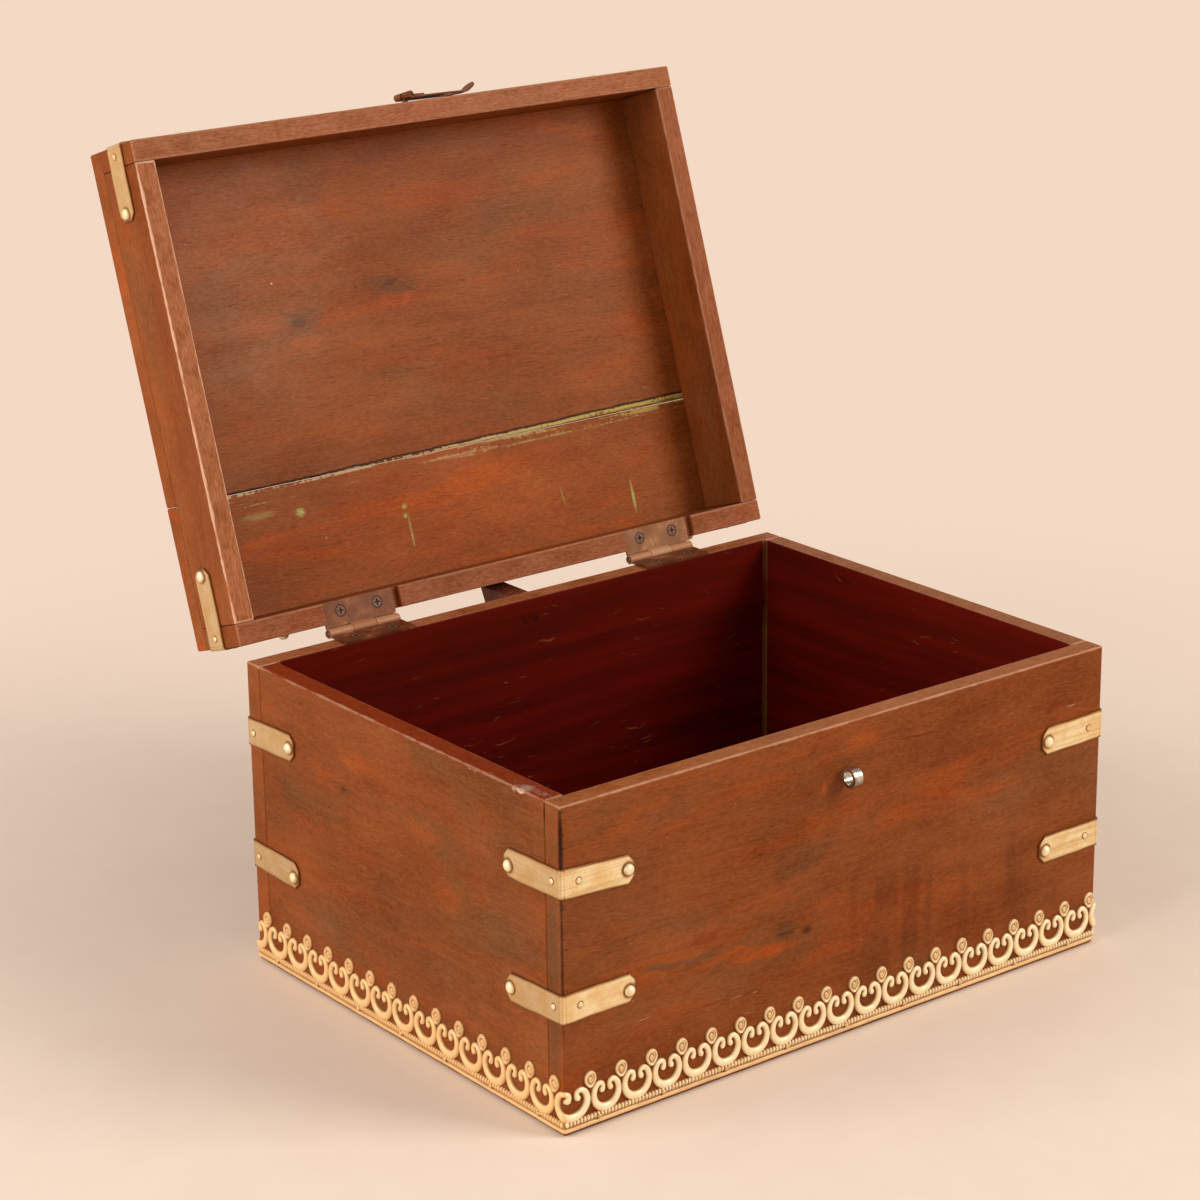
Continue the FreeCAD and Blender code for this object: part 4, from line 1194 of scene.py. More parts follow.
@dataclass
class CornerStraps:
    """Brass strips bent round the corners, ends clipped, with their domed nails and flat pins."""

    width: float = 13.0
    sheet: float = 0.8
    clip: float = 3.4
    ease: float = 0.22
    nail_inset: float = 3.6
    nail_radius: float = 2.5
    nail_rise: float = 2.0
    nail_dome: float = 1.0
    pin_radius: float = 1.25
    pin_rise: float = 0.6
    pin_dome: float = 0.4
    pin_ways: tuple[float, float] = (8.2, 4.6)
    bend: float = 1.2
    crown: float = 0.05
    dent: float = 0.05
    stand_off: float = 0.02
    brass: Brass = Brass("strap_brass", left_darkening=0.45)
    nail_brass: Brass = Brass(
        "nail_brass", bright=paint(255, 242, 206), body=paint(250, 226, 174), brushed=400.0, gloss=0.42,
        metal=0.3)
    pin_brass: Brass = Brass(
        "pin_brass", bright=paint(255, 238, 194), body=paint(232, 194, 132), brushed=400.0, metal=0.4)
    lays: tuple[Lay, ...] = (
        Lay(Tier.UPPER, Corner.FRONT_LEFT, 109.5, 110.6, 108.3),
        Lay(Tier.UPPER, Corner.FRONT_RIGHT, 106.3, 107.0, 107.6),
        Lay(Tier.UPPER, Corner.BACK_RIGHT, 110.0, 110.4, 109.5),
        Lay(Tier.UPPER, Corner.BACK_LEFT, 110.0, 110.9, 112.4),
        Lay(Tier.LOWER, Corner.FRONT_LEFT, 54.5, 56.2, 56.6),
        Lay(Tier.LOWER, Corner.FRONT_RIGHT, 54.5, 54.7, 54.0),
        Lay(Tier.LOWER, Corner.BACK_RIGHT, 54.5, 54.0, 55.0),
        Lay(Tier.LOWER, Corner.BACK_LEFT, 53.0, 52.2, 51.6),
        Lay(Tier.LID, Corner.FRONT_LEFT, 159.6, 159.2, 160.4, (34.0, 37.0)),
        Lay(Tier.LID, Corner.FRONT_RIGHT, 162.2, 162.7, 163.2),
        Lay(Tier.LID, Corner.BACK_RIGHT, 162.7, 162.0, 162.4),
        Lay(Tier.LID, Corner.BACK_LEFT, 163.2, 163.4, 163.0),
    )

    def nails(self, lay: Lay, number: int) -> np.ndarray:
        """Way from the corner and height of the two domed nails, each a little off the middle line."""
        span = np.array([-lay.legs[0] + self.nail_inset, lay.legs[1] - self.nail_inset])
        return np.stack([span, lay.level(span) - 0.45 + 0.7 * np.sin(2.3 * number + span)], axis=1)

    def pins(self, lay: Lay, number: int) -> np.ndarray:
        """The two flat pins, nearer the bend on the ends of the box.

        Args:
            lay: Where the strap is nailed.
            number: Number that sets the unevenness.

        Returns:
            Way from the corner and height, a row for each pin.
        """
        end_first = lay.corner in (Corner.FRONT_LEFT, Corner.BACK_RIGHT)
        near, far = self.pin_ways[1], self.pin_ways[0]
        span = np.array([-near, far]) if end_first else np.array([-far, near])
        return np.stack([span, lay.level(span) + 0.5 * np.sin(1.7 * number + span)], axis=1)

    def skin(self, lay: Lay, number: int) -> Skin:
        """One strap, a profile carried round the corner.

        Profile: an eased oblong, sheet thick, whose half width is the strap's, less the clip towards each
        end. Path: the girth from one leg's end to the other, tilted with the lay. A slow sum of sines makes
        the hand-cut edge uneven. The share from low to high falls towards the edges, at the bend and in a
        ring round each nail and pin; the material paints patina and painted shade there, the ring being a
        painted shadow of the heads.

        Args:
            lay: Where the strap is nailed.
            number: Number that sets the unevenness.

        Returns:
            The closed surface.
        """
        first, last = lay.legs
        span = np.concatenate([
            np.linspace(-first, -first + self.clip, 10), np.linspace(-first + self.clip, -self.bend, 90)[1:],
            np.linspace(-self.bend, self.bend, 13)[1:], np.linspace(self.bend, last - self.clip, 90)[1:],
            np.linspace(last - self.clip, last, 10)[1:]])
        end = np.where(span < 0, first + span, last - span)
        half = self.width / 2 - np.maximum(self.clip - end, 0)
        phase = number * 1.37
        half_top = half + 0.10 * np.sin(span / 5.1 + phase) + 0.05 * np.sin(span / 1.9 + 2 * phase)
        half_low = half + 0.10 * np.sin(span / 4.3 - phase) + 0.05 * np.sin(span / 2.3 + phase)
        turn = np.linspace(0, math.pi / 2, 5)
        ease, sheet = self.ease, self.sheet
        inset = np.concatenate([[ease], ease * (1 - np.sin(turn)), ease * (1 - np.cos(turn))])
        rise = np.concatenate([[0.0], ease * (1 - np.cos(turn)) * 0.2, sheet - ease + ease * np.sin(turn)])
        share = np.linspace(-0.92, 0.92, 33)
        across = np.concatenate([
            -half_low[:, None] + inset[None, :],
            np.where(share[None, :] < 0, half_low[:, None], half_top[:, None]) * share[None, :] * 0.94,
            half_top[:, None] - inset[None, ::-1]], axis=1)
        crown = sheet + self.crown * (1 - share ** 2)
        out = np.concatenate([rise, crown, rise[::-1]])[None, :] + self.stand_off
        dent = self.dent * np.sin(span / 7.7 + phase)[:, None] * (out > 0.3)
        station = GIRTH.corners()[lay.corner.value] + span[:, None] + 0 * across
        level = lay.level(span)[:, None] + across
        grid = GIRTH.at(station, level, out + dent)
        edge = np.minimum(half_low[:, None] + across, half_top[:, None] - across)
        # Patina and painted shade towards the edges and ends of the strap
        shine = np.clip(edge / 1.5, 0, 1) * np.clip(end / 1.5, 0, 1)[:, None]
        # Painted shade in a thin line along the bend
        shine = shine * np.clip(0.45 + np.abs(np.abs(span) - 1.0) / 0.9, 0.45, 1)[:, None]
        # Painted shadow: a ring round each nail and pin head
        for marks, radius, shadow_reach in ((self.nails(lay, number), self.nail_radius, 2.2),
                                     (self.pins(lay, number), self.pin_radius, 1.0)):
            away = np.hypot(span[:, None, None] - marks[:, 0], level[:, :, None] - marks[:, 1]).min(axis=-1)
            shine = shine * np.clip(0.05 + (away - radius) / shadow_reach, 0.05, 1)
        body = Skin.woven(grid[:, ::-1], shine[:, ::-1], round_columns=True)
        return Skin.joined([body, Skin.cap(grid[0]), Skin.cap(grid[-1, ::-1])])

    def head(self, lay: Lay, mark: np.ndarray, radius: float, rise: float, flat: float) -> Skin:
        """One nail head, a profile turned about its middle: share outward by turn.

        Its height is the rise times a power of the falling circle; the last row goes straight down to the
        strap.

        Args:
            lay: Where the strap is nailed.
            mark: Way from the corner and height of the nail.
            radius: Radius of the head.
            rise: Its height.
            flat: 1 for a dome, less for a flatter head.

        Returns:
            The head, open below.
        """
        share = np.array([0.0, 0.25, 0.5, 0.7, 0.85, 0.95, 1.0, 1.0])[:, None]
        turn = np.linspace(0, 2 * math.pi, 18, endpoint=False)[None, :]
        height = rise * (0.18 + 0.82 * np.clip(1 - share ** 2, 0, 1) ** (0.5 * flat))
        height[-1] = -0.2
        around = 1 + 0.03 * np.sin(2 * turn + mark[0])
        station = GIRTH.corners()[lay.corner.value] + mark[0] + radius * share * around * np.cos(turn)
        level = mark[1] + radius * share * around * np.sin(turn)
        grid = GIRTH.at(station, level, self.sheet + height + 0 * turn)
        # Patina and painted shade: the share falls towards the foot of the head, which the material paints
        # darker
        shine = np.clip(0.35 + height / rise, 0, 1) + 0 * turn
        return Skin.woven(grid, shine, round_columns=True)

    def seated(self, skin: Skin, lid: bool) -> Skin:
        """The same surface, turned up with the lid where it belongs to it."""
        return Skin(SWING.opened(skin.points), skin.faces, skin.height) if lid else skin

    def build(self) -> None:
        """Makes all twelve straps, and the nails and pins of box and lid."""
        for body in ("box", "lid"):
            lid = body == "lid"
            brass = self.brass.dress(lid)
            domes, pins = [], []
            for number, lay in enumerate(self.lays):
                if lay.tier.body != body:
                    continue
                thing = self.seated(self.skin(lay, number), lid).piece(f"corner_strap_{lay.name}")
                place(thing, body, "brass_strap", [f"strap_{lay.name}"], brass)
                for mark in self.nails(lay, number):
                    domes.append(self.head(lay, mark, self.nail_radius, self.nail_rise, self.nail_dome))
                for mark in self.pins(lay, number):
                    pins.append(self.head(lay, mark, self.pin_radius, self.pin_rise, self.pin_dome))
            kinds = (("dome_nails", domes, self.nail_brass), ("strap_pins", pins, self.pin_brass))
            for kind, heads, finish in kinds:
                thing = self.seated(Skin.joined(heads), lid).piece(f"{kind}_of_{body}")
                place(thing, body, "brass_nail", [f"{body}_{kind}"], finish.dress(lid))


class Side(Enum):
    """Walls of the box in the order of the girth, by the name of the strip on them."""

    FRONT = "trim_front"
    RIGHT = "trim_right"
    BACK = "trim_back"
    LEFT = "trim_left"


@dataclass
class Gallery:
    """Stamped brass strip round the foot: rail, bead row, open rings with volutes, finials between them."""

    foot: float = 1.4
    rail: float = 1.9
    bead_level: float = 3.75
    bead_pitch: float = 1.78
    bead_half: tuple[float, float] = (0.72, 1.5)
    bead_rise: float = 1.42
    front_start: float = 13.0
    front_pitch: float = 16.03
    left_end: float = 5.5
    left_pitch: float = 16.5
    ring_level: float = 11.9
    finial_level: float = 20.8
    finial_radius: float = 3.1
    pin_level: float = 3.0
    pin_radius: float = 1.1
    pin_counts: tuple[int, int] = (9, 7)
    knots: np.ndarray = field(default_factory=lambda: np.array([
        (0.0, -5.75, 1.9), (3.2, -5.0, 1.85), (5.55, -2.6, 1.7), (6.4, 0.5, 1.5), (5.7, 3.7, 1.35),
        (3.9, 5.5, 1.2), (2.15, 5.1, 1.1), (1.7, 3.6, 1.15), (2.1, 2.4, 1.4)]))
    brass: Brass = Brass(
        "gallery_brass", bright=paint(255, 242, 204), body=paint(255, 238, 194), patina_and_shade=paint(238, 194, 132),
        recess=paint(156, 104, 58), brushed=300.0, gloss=0.44, metal=0.15, hollow=0.8,
        left_darkening=0.9)
    pin: Brass = Brass(
        "strip_pin_brass", bright=paint(232, 196, 138), body=paint(214, 170, 110), brushed=400.0, metal=0.4)

    def stations(self) -> np.ndarray:
        """Places of the finials: as measured on the two seen sides, evenly filled in on the others.

        Returns:
            Stations along the girth.
        """
        front = self.front_start + self.front_pitch * np.arange(19)
        left = GIRTH.length - self.left_end - self.left_pitch * np.arange(14)[::-1]
        rest = np.linspace(front[-1], left[0], 35)[1:-1]
        return np.concatenate([front, rest, left])

    def spine(self) -> tuple[np.ndarray, np.ndarray, np.ndarray]:
        """Middle line of a ring and half its wire width.

        One half is a smooth curve through measured points: from the bottom round the side to the top, then
        inward and down into a crook with a round bulb at its end. Between two points the curve is the cubic
        whose slope at each point is half the step between its neighbours. The other half mirrors it.

        Returns:
            Across, up and half width along the line.
        """
        before, after = self.knots[1] * [-1, 1, 1], 2 * self.knots[-1] - self.knots[-2]
        chain = np.vstack([before, self.knots, after])
        back, start, end, front = chain[:-3, None], chain[1:-2, None], chain[2:-1, None], chain[3:, None]
        share = np.linspace(0, 1, 5, endpoint=False)[None, :, None]
        curve = 0.5 * (2 * start + (end - back) * share
                       + (2 * back - 5 * start + 4 * end - front) * share ** 2
                       + (3 * start - back - 3 * end + front) * share ** 3)
        curve = np.vstack([curve.reshape(-1, 3), self.knots[-1]])
        turn = np.linspace(0, math.pi / 2, 5)[1:]
        way = curve[-1, :2] - curve[-2, :2]
        way = way / np.hypot(*way)
        bulb = curve[-1, :2] + way * curve[-1, 2] * np.sin(turn)[:, None]
        across, up = np.vstack([curve[:, :2], bulb]).T
        half = np.concatenate([curve[:, 2], curve[-1, 2] * np.cos(turn)])
        mirror = slice(None, 0, -1)
        return (np.concatenate([-across[mirror], across]), np.concatenate([up[mirror], up]),
                np.concatenate([half[mirror], half]))

    def ring(self, station: float, stretch: float) -> Skin:
        """One ring: a half-round profile carried along the spine, then round the girth.

        The profile stands on a low skirt that meets the wood; it is highest where the wire is widest.

        Args:
            station: Its middle along the girth.
            stretch: How much wider it is than drawn.

        Returns:
            The surface.
        """
        across, up, half = self.spine()
        along = np.gradient(across), np.gradient(up)
        size = np.hypot(*along)
        side_across, side_up = along[1] / size, -along[0] / size
        turn = np.linspace(0, math.pi, 9)
        share, bulge = np.cos(turn), np.sin(turn)
        width = half[:, None] * share[None, :]
        flat_across = (across[:, None] + side_across[:, None] * width) * stretch
        flat_up = up[:, None] + side_up[:, None] * width
        out = 0.05 + 0.25 * (bulge > 0.01)[None, :] + (half / 1.9)[:, None] ** 0.5 * 1.4 * bulge[None, :]
        grid = GIRTH.at(station + flat_across, self.foot + self.ring_level + flat_up, out)
        # The relief share is low at the wire's edges, where the material paints patina and painted shade
        # against the wood
        return Skin.woven(grid[:, ::-1], np.broadcast_to(bulge, grid.shape[:2]))

    def finial(self, station: float) -> Skin:
        """One finial: an oval drawn to a point below, as a function of share outward and angle.

        Its height is a raised rim near the edge, a spiral ridge that winds in to a dot, and a low ground.

        Args:
            station: Its middle along the girth.

        Returns:
            The surface.
        """
        share = np.concatenate([np.linspace(0, 0.96, 13), [1.0, 1.0]])[:, None]
        angle = np.linspace(0, 2 * math.pi, 28, endpoint=False)[None, :]
        below = np.clip(-np.sin(angle), 0, 1)
        across = self.finial_radius * share * np.cos(angle) * (1 - 0.25 * below ** 2)
        up = share * np.sin(angle) * (3.5 + 0.9 * below ** 2)
        rim = np.exp(-((share - 0.80) / 0.12) ** 2)
        spiral = 0.5 + 0.5 * np.cos(2 * math.pi * (share * 2.2 - angle / (2 * math.pi)))
        dot = np.exp(-(share / 0.17) ** 2)
        shape = np.maximum(np.maximum(rim, 0.9 * dot), 0.5 * spiral * (share < 0.66) * (share > 0.2))
        out = 0.35 + 1.0 * shape
        out[-1] = 0.05
        grid = GIRTH.at(station + across, self.foot + self.finial_level + up, out)
        return Skin.woven(grid, shape + 0 * angle, round_columns=True)

    def beads(self, start: float, end: float) -> Skin:
        """Row of upright beads: each is half an egg, level by turn, of few faces.

        All are worked out as one array.

        Args:
            start: Where the row starts along the girth.
            end: Where it ends.

        Returns:
            The surface.
        """
        count = int(round((end - start) / self.bead_pitch))
        middle = start + (np.arange(count) + 0.5) * (end - start) / count
        turn = np.linspace(0, 2 * math.pi, 8, endpoint=False)
        ring = np.array([1.0, 0.85, 0.5, 0.0])
        lift = np.array([0.05, 0.85, 1.3, self.bead_rise])
        across = self.bead_half[0] * ring[:, None] * np.cos(turn)[None, :]
        up = self.bead_half[1] * ring[:, None] * np.sin(turn)[None, :]
        shape = (count, len(ring), len(turn))
        level = np.broadcast_to(self.foot + self.bead_level + up, shape)
        grid = GIRTH.at(middle[:, None, None] + across, level, np.broadcast_to(lift[:, None], shape))
        shine = np.broadcast_to(lift[:, None] / self.bead_rise, shape[1:])
        one = Skin.woven(grid[0], shine, round_columns=True)
        jump = (np.arange(count) * one.points.shape[0])[:, None, None]
        return Skin(grid.reshape(-1, 3), (one.faces[None] + jump).reshape(-1, 4), np.tile(one.height, count))

    def band(self, start: float, end: float) -> Skin:
        """Rail and ground: a profile carried along the foot.

        The profile is a half-round rail, a groove, then the flat ground of the beads.

        Args:
            start: Where the band starts along the girth.
            end: Where it ends.

        Returns:
            The surface.
        """
        turn = np.linspace(-math.pi / 2, math.pi / 2, 11)
        top = self.bead_level + 1.1
        groove, ground = self.rail + 0.25, self.rail + 0.45
        level = np.concatenate([[0.0], self.rail / 2 * (1 + np.sin(turn)), [groove, ground, top, top]])
        out = np.concatenate([[0.03], 0.45 + 0.6 * np.cos(turn), [0.2, 0.3, 0.3, 0.03]])
        edges = np.concatenate([GIRTH.corners(), GIRTH.corners() + GIRTH.length])
        fine = (edges[:, None] + np.linspace(-1.0, 1.0, 11)[None, :]).ravel()
        fine = fine[(fine > start) & (fine < end)]
        station = np.unique(np.concatenate([np.linspace(start, end, 90), fine]))
        wobble = 0.06 * np.sin(station / 3.1) + 0.05 * np.sin(station / 7.3 + 1.0)
        uneven = out[None, :] + wobble[:, None] * (out > 0.4)
        grid = GIRTH.at(station[:, None], self.foot + level[None, :], uneven)
        shape = np.clip((out - 0.2) / 2.1, 0, 1)
        return Skin.woven(grid[:, ::-1], np.broadcast_to(shape[::-1], grid.shape[:2]))

    def pins(self) -> Skin:
        """Heads of the small pins at the lower edge of the bead row, evenly along each wall.

        Each is a profile turned about its middle, share outward by turn: a low dome with a rim.

        Returns:
            All heads as one surface.
        """
        bounds = np.append(GIRTH.corners(), GIRTH.length)
        rows = [np.linspace(start, end, 2 * self.pin_counts[number % 2] + 1)[1::2]
                for number, (start, end) in enumerate(zip(bounds[:-1], bounds[1:]))]
        share = np.array([0.0, 0.4, 0.7, 0.9, 1.0, 1.0])[:, None]
        turn = np.linspace(0, 2 * math.pi, 10, endpoint=False)[None, :]
        lift = np.array([1.85, 1.8, 1.65, 1.4, 1.0, 0.25])[:, None]
        shine = np.clip((lift - 0.9) / 0.7, 0, 1) + 0 * turn
        across = self.pin_radius * share * np.cos(turn)
        level = self.foot + self.pin_level + self.pin_radius * share * np.sin(turn)
        return Skin.joined([
            Skin.woven(GIRTH.at(station + across, level, lift + 0 * turn), shine, round_columns=True)
            for station in np.concatenate(rows)])

    def build(self) -> None:
        """Makes the strip of each wall; a ring or finial belongs to the wall on which its middle lies."""
        place(self.pins().piece("gallery_pins", 60.0), "box", "brass_nail", ["trim_pins"], self.pin.dress())
        brass = self.brass.dress()
        finials = self.stations()
        after = np.append(finials[1:], finials[0] + GIRTH.length)
        rings = (finials + after) / 2
        stretch = (after - finials) / self.front_pitch
        rings = np.where(rings > GIRTH.length, rings - GIRTH.length, rings)
        bounds = np.append(GIRTH.corners(), GIRTH.length)
        for number, side in enumerate(Side):
            start, end = bounds[number], bounds[number + 1]
            parts = [self.band(start, end), self.beads(start, end)]
            mine = (rings >= start) & (rings < end)
            parts += [self.ring(middle, wide) for middle, wide in zip(rings[mine], stretch[mine])]
            parts += [self.finial(middle) for middle in finials[(finials >= start) & (finials < end)]]
            thing = Skin.joined(parts).piece(f"gallery_{side.name.lower()}", 60.0)
            place(thing, "box", "brass_gallery", [side.value], brass)


@dataclass
class Fittings:
    """Hinges, screws, hidden nails, staple and stop block, carried over with their own finishes."""

    iron: PaintedSteel = PaintedSteel("nail_iron", metal=0.6)
    sunk: PaintedSteel = PaintedSteel(
        "sunk_nail", coat=paint(78, 10, 4), dark=paint(50, 5, 2), rubbed_and_lit=paint(96, 22, 10), metal=0.0)
    box_leaf: PaintedSteel = PaintedSteel(
        "hinge_box_leaf", coat=paint(120, 64, 34), dark=paint(90, 44, 20), rubbed_and_lit=paint(186, 130, 90),
        metal=0.0, screws=True, knuckles=True)
    # Painted light: the right lid leaf is painted lighter than the left, as more light falls on it
    left_leaf: PaintedSteel = PaintedSteel(
        "hinge_left_lid_leaf", coat=paint(146, 90, 57), dark=paint(124, 74, 47), rubbed_and_lit=paint(172, 118, 82),
        metal=0.0, shine=0.15, screws=True, knuckles=True, lid=True)
    right_leaf: PaintedSteel = PaintedSteel(
        "hinge_right_lid_leaf", coat=paint(166, 114, 75), dark=paint(138, 90, 58),
        rubbed_and_lit=paint(192, 146, 108), metal=0.0, shine=0.15, screws=True, knuckles=True, lid=True)
    hinge_pin: PaintedSteel = PaintedSteel(
        "hinge_pin", coat=paint(120, 84, 64), rubbed_and_lit=paint(214, 178, 146), gloss=0.3, metal=0.6)
    box_screw: PaintedSteel = PaintedSteel(
        "box_screw_paint", coat=paint(124, 78, 54), dark=paint(84, 48, 32), rubbed_and_lit=paint(150, 100, 70),
        metal=0.1, screws=True)
    lid_screw: PaintedSteel = PaintedSteel(
        "lid_screw_paint", coat=paint(120, 74, 52), dark=paint(92, 54, 36), rubbed_and_lit=paint(142, 94, 68),
        metal=0.1, screws=True, lid=True)
    staple: PaintedSteel = PaintedSteel(
        "staple_steel", coat=paint(226, 220, 206), dark=paint(150, 138, 122), rubbed_and_lit=paint(248, 244, 234),
        gloss=0.25, metal=0.95)
    stop: RawWood = RawWood("stop_wood")

    def dress(self) -> None:
        """Dresses each carried-over fitting."""
        box_leaf, hinge_pin, iron = self.box_leaf.dress(), self.hinge_pin.dress(), self.iron.dress()
        for node in ("bottom_nails", "lid_top_nails"):
            wear(node, iron)
        wear("stop_nails", self.sunk.dress())
        wear("hinge_left_lid_leaf", self.left_leaf.dress())
        wear("hinge_right_lid_leaf", self.right_leaf.dress())
        for end in ("left", "right"):
            wear(f"hinge_{end}_box_leaf", box_leaf)
            wear(f"hinge_{end}_pin", hinge_pin)
        wear("hinge_screws_box", self.box_screw.dress())
        wear("hinge_screws_lid", self.lid_screw.dress())
        wear("front_staple", self.staple.dress())
        wear("lid_stop_block", self.stop.dress())
        self.lips()

    def lips(self) -> None:
        """Rolled backs of the lid leaves, which close the slit at the knuckles: flat oblong profiles."""
        near, far = HINGE.lip_depths
        low, high = HINGE.lip_levels
        deep = np.array([near, far, far, near])[None, :]
        level = np.array([high, high, low, low])[None, :]
        leaves = (("left", -HINGE.middle, self.left_leaf), ("right", HINGE.middle, self.right_leaf))
        for end, middle, leaf in leaves:
            along = middle + np.linspace(-HINGE.half_length, HINGE.half_length, 12)[:, None]
            grid = SWING.opened(np.stack(np.broadcast_arrays(along, deep, level), axis=-1))
            thing = Skin.tube(grid).piece(f"hinge_{end}_leaf_lip", closed=True)
            thing.data.materials.append(bpy.data.materials[leaf.name])
            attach(thing, "lid")
            LOG.info("%s added", thing.name)


@dataclass
class Hasp:
    """Strap rolled round a cross bar on a pin that swivels in the lid's front rail.

    Its measures are those of the strap as it hangs straight down.
    """

    middle: float = -2.0
    depth: float = -117.6
    level: float = 148.7
    swing: float = -98.0
    roll: float = 1.25
    sheet: float = 0.8
    half_width: float = 5.5
    slot: tuple[float, float, float] = (23.0, 33.4, 3.0)
    notch: float = 0.8
    notch_angle: float = 128.0
    notch_end: float = 2.8
    neck: float = 37.0
    curl: float = 32.0
    ease: float = 0.15
    steel: PaintedSteel = PaintedSteel(
        "hasp_paint", coat=paint(134, 78, 48), dark=paint(104, 56, 34), rubbed_and_lit=paint(172, 116, 80),
        metal=0.0, shine=0.15)

    def hung(self, points: np.ndarray) -> np.ndarray:
        """Turns points of the hanging strap to the side about the swivel, and up with the lid.

        Args:
            points: Across, along and out.

        Returns:
            The points in the pictured pose.
        """
        turn = math.radians(self.swing)
        across, up = points[..., 0], -points[..., 1]
        return SWING.opened(np.stack([
            self.middle + across * math.cos(turn) + up * math.sin(turn), self.depth - points[..., 2],
            self.level - across * math.sin(turn) + up * math.cos(turn)], axis=-1))

    def path(self) -> np.ndarray:
        """Middle line of the sheet, seen from the side, with its gap and half width.

        It starts as the fold on the plate, runs round the roll as a circle, leaves it as the straight
        plate, narrows to the neck and rises as the curled paddle, whose outline is rounded.

        Returns:
            Rows of along, out, half the gap in the middle, and half width.
        """
        fold = np.array([(9.0, -0.45), (6.0, -0.45), (3.0, -0.45), (2.0, -0.40), (1.55, -0.28), (1.32, -0.1)])
        turn = np.radians(np.linspace(2, 270, 33))
        circle = self.roll * np.stack([np.cos(turn), np.sin(turn)], axis=1)
        start, end, gap = self.slot
        straight = np.concatenate([
            np.linspace(0.4, 3.0, 5), np.linspace(3.2, start, 14), np.linspace(start + 0.2, end, 12),
            np.linspace(end + 0.2, self.neck, 16)])
        plate = np.stack([straight, np.full_like(straight, -self.roll)], axis=1)
        rise = np.radians(np.concatenate([np.linspace(0, self.curl, 9)[1:], np.full(12, self.curl)]))
        step = np.concatenate([np.full(8, 0.36), np.full(12, 0.50)])
        paddle = plate[-1] + np.cumsum(np.stack([np.cos(rise), np.sin(rise)], axis=1) * step[:, None], axis=0)
        line = np.vstack([fold, circle, plate, paddle])
        way = np.concatenate([np.zeros(len(fold) + len(circle)), straight, self.neck + np.cumsum(step)])
        stations = [0, 33.6, 34.6, 35.3, 36.0, self.neck, 38.2, 39.4, 40.8, 42.6, 44.0, 45.0, 45.6, 45.88]
        halves = [self.half_width, 5.3, 4.4, 3.2, 2.3, 2.0, 2.3, 3.1, 3.6, 3.6, 3.1, 2.2, 1.4, 0.5]
        half = np.interp(way, stations, halves)
        half[:3] = [4.6, 5.0, 5.3]
        angle = np.degrees(np.concatenate([np.zeros(len(fold)), turn, np.zeros(len(plate) + len(paddle))]))
        notched = (angle > self.notch_angle) | ((way > 0) & (way < self.notch_end))
        open_half = np.where(notched, self.notch, 0.0)
        open_half = np.where((way > start + 0.1) & (way < end + 0.1), gap, open_half)
        return np.column_stack([line, open_half, half])

    def strap(self) -> Skin:
        """Both halves of the strap.

        Each is an eased oblong, from the gap to the edge and sheet thick, carried along the path.

        Returns:
            The closed surfaces.
        """
        along, out, gap, half = self.path().T
        ways = np.gradient(along), np.gradient(out)
        size = np.hypot(*ways)
        lift_along, lift_out = -ways[1] / size, ways[0] / size
        ease, thick = self.ease, self.sheet / 2
        across = np.stack([gap, gap, gap + ease, half - ease, half, half, half - ease, gap + ease], axis=1)
        lift = np.array([
            ease - thick, thick - ease, thick, thick, thick - ease, ease - thick, -thick, -thick])[None, :]
        along = along[:, None] + lift_along[:, None] * lift
        out = out[:, None] + lift_out[:, None] * lift
        return Skin.joined([
            Skin.tube(self.hung(np.stack([side * across, along, out], axis=-1))) for side in (1.0, -1.0)])

    def rod(self, profile: Sequence[tuple[float, float]], across: bool) -> Skin:
        """A turned rod through the roll: pairs of way along the rod and radius, carried round a full circle.

        Args:
            profile: The pairs; the way is across the strap, or towards the lid.
            across: The rod lies across the strap.

        Returns:
            The closed surface.
        """
        way, radius = np.array(profile).T
        turn = np.linspace(0, 2 * math.pi, 20, endpoint=False)[None, :]
        first, second = radius[:, None] * np.cos(turn), radius[:, None] * np.sin(turn)
        way = way[:, None] + 0 * turn
        grid = np.stack([way, first, second] if across else [first, second, -way], axis=-1)
        return Skin.woven(self.hung(grid), np.ones(grid.shape[:2]), round_columns=True)

    def build(self) -> None:
        """Makes the strap, and its pin with the bar cut off flush with the roll."""
        steel = self.steel.dress()
        place(self.strap().piece("hasp_plate", closed=True), "hasp", "hasp_paint", ["hasp_strap"], steel)
        bar = self.rod([(-5.5, 0.0), (-5.5, 0.6), (-5.35, 0.8), (5.35, 0.8), (5.5, 0.6), (5.5, 0.0)], True)
        shank = self.rod([
            (0.0, 0.0), (0.0, 0.6), (2.3, 0.6), (2.6, 1.6), (13.4, 1.6), (13.4, 3.3), (13.6, 3.6),
            (13.75, 3.3), (13.8, 0.0)], False)
        pin = Skin.joined([bar, shank]).piece("swivel_pin", closed=True)
        place(pin, "hasp_swivel", "hasp_paint", ["hasp_swivel_pin"], steel)


# Studio

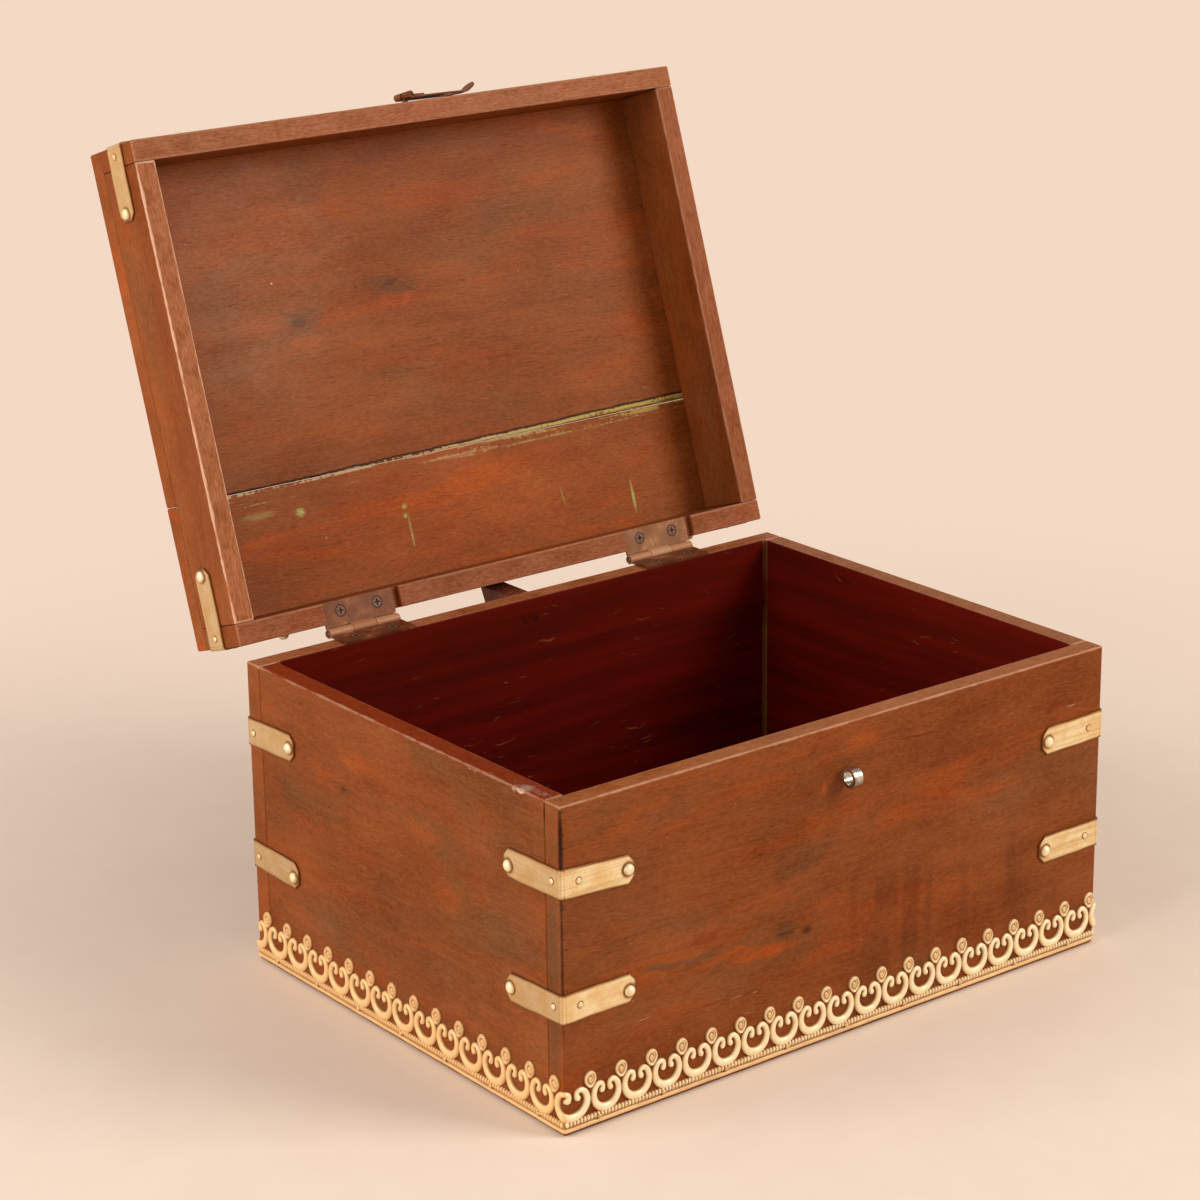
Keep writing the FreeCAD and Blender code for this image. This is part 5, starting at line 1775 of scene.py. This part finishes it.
@dataclass
class Studio:
    """Pale sweep, soft lights and the camera at the pictured angle."""

    eye: Point = (-888.185, -1088.711, 628.216)
    yaw: float = -37.85
    pitch: float = 18.107
    roll: float = -0.699
    focal: float = 3340.9
    frame_size: float = 1200.0
    sensor: float = 36.0
    paper: Colour = paint(243, 226, 211)
    mottle: Colour = paint(206, 178, 158)
    backdrop: Colour = paint(244, 217, 196)
    flat: float = 4.5
    reach: float = 9.0
    climb: float = 190.0
    below: float = -0.4
    glow: tuple[float, float] = (0.22, 0.75)
    daylight: Colour = paint(255, 247, 238)
    room: float = 0.46
    watts: float = 38.0

    def stand(self, thing: bpy.types.Object, right: np.ndarray, up: np.ndarray, back: np.ndarray,
              place: np.ndarray) -> None:
        """Puts the camera or a lamp into the room.

        Args:
            thing: The camera or lamp.
            right: Its own first axis.
            up: Its own second axis.
            back: Its own third axis, away from what it looks at.
            place: Where it stands, in metres.
        """
        matrix = np.eye(4)
        matrix[:3] = np.column_stack([right, up, back, place])
        thing.matrix_world = Matrix(matrix.tolist())
        bpy.context.scene.collection.objects.link(thing)

    def camera(self) -> None:
        """Aims the camera from the eye, down by pitch, turned by yaw and rolled about itself."""
        yaw, pitch, roll = (math.radians(angle) for angle in (self.yaw, self.pitch, self.roll))
        back = np.array([math.sin(yaw) * math.cos(pitch), -math.cos(yaw) * math.cos(pitch), math.sin(pitch)])
        right = np.cross(-back, [0.0, 0.0, 1.0])
        right = right / np.linalg.norm(right)
        up = np.cross(right, -back)
        across = math.cos(roll) * right + math.sin(roll) * up
        upward = -math.sin(roll) * right + math.cos(roll) * up
        lens = bpy.data.cameras.new("camera")
        lens.sensor_width = self.sensor
        lens.lens = self.focal * self.sensor / self.frame_size
        lens.clip_end = 50.0
        camera = bpy.data.objects.new("camera", lens)
        self.stand(camera, across, upward, back, np.array(self.eye) * MM)
        bpy.context.scene.camera = camera

    def sweep(self) -> None:
        """Round pale floor that rises to a wall far out.

        Its level follows the square of the distance past the flat part. Away from the box the paper glows
        by itself for the camera and in reflections, so that it stays even.
        """
        distance = np.concatenate([[0.0], np.linspace(0.6, self.reach, 26)])[:, None]
        angle = np.linspace(0, 2 * math.pi, 72, endpoint=False)[None, :]
        level = self.below + self.climb * np.maximum(distance - self.flat, 0) ** 2 + 0 * angle
        away = distance * PER_METRE
        grid = np.stack([away * np.cos(angle), away * np.sin(angle), level], axis=-1)
        thing = Skin.woven(grid, np.zeros(grid.shape[:2]), round_columns=True).piece("floor_sweep")
        bench = Bench("sweep_paper")
        spot = bench.spot()
        mottle = bench.cloud(spot, 40.0, detail=4.0)
        colour = bench.mix(mottle.rise(0.3, 0.7) * 0.06, self.paper, self.mottle)
        paper = bench.node("ShaderNodeBsdfPrincipled", None, {"Base Color": colour, "Roughness": 0.9})
        glow = bench.node("ShaderNodeEmission", None, {"Color": self.backdrop, "Strength": 1.0})
        ray = bench.node("ShaderNodeLightPath").outputs
        seen = Num(bench, ray["Is Camera Ray"]) + Num(bench, ray["Is Glossy Ray"])
        seen = seen + Num(bench, ray["Is Transmission Ray"])
        x, y, _ = bench.split(spot)
        far = ((x * x + y * y) ** 0.5).rise(*self.glow)
        both = bench.node("ShaderNodeMixShader", None, {
            0: seen.least(1.0) * far, 1: paper.outputs[0], 2: glow.outputs[0]})
        thing.data.materials.append(bench.close(both))

    def lamp(self, name: str, place: Point, aim: Point, size: float, watts: float, tint: Colour) -> None:
        """One square soft light.

        Args:
            name: Its name.
            place: Where it stands, in metres.
            aim: Where it points.
            size: Its side in metres.
            watts: Its power.
            tint: Its colour.
        """
        light = bpy.data.lights.new(name, "AREA")
        light.shape = "SQUARE"
        light.size = size
        light.energy = watts
        light.color = tint[:3]
        lamp = bpy.data.objects.new(name, light)
        back = np.array(place, float) - np.array(aim, float)
        back = back / np.linalg.norm(back)
        right = np.cross([0.0, 0.0, 1.0], back)
        right = right / np.linalg.norm(right)
        self.stand(lamp, right, np.cross(back, right), back, np.array(place, float))

    def light(self) -> None:
        """Even room light and two soft lamps."""
        world = bpy.data.worlds.new("room")
        bpy.context.scene.world = world
        world.use_nodes = True
        ground = world.node_tree.nodes["Background"]
        ground.inputs["Color"].default_value = self.daylight
        ground.inputs["Strength"].default_value = self.room
        self.lamp("key_light", (1.25, -1.7, 1.4), (0.0, 0.0, 0.15), 1.1, self.watts, self.daylight)
        self.lamp("fill_light", (-2.0, 0.3, 0.9), (0.0, 0.0, 0.12), 1.8, self.watts, paint(255, 249, 242))

    def build(self) -> None:
        """Sets the whole studio up."""
        self.camera()
        self.sweep()
        self.light()
        bpy.context.scene.view_settings.view_transform = "Standard"


def main() -> None:
    """Builds and dresses everything in order."""
    logging.basicConfig(level=logging.INFO, format="%(name)s: %(message)s")
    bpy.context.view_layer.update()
    Studio().build()
    Boards().dress()
    CornerStraps().build()
    Gallery().build()
    Fittings().dress()
    Hasp().build()


if __name__ == "__main__":
    main()
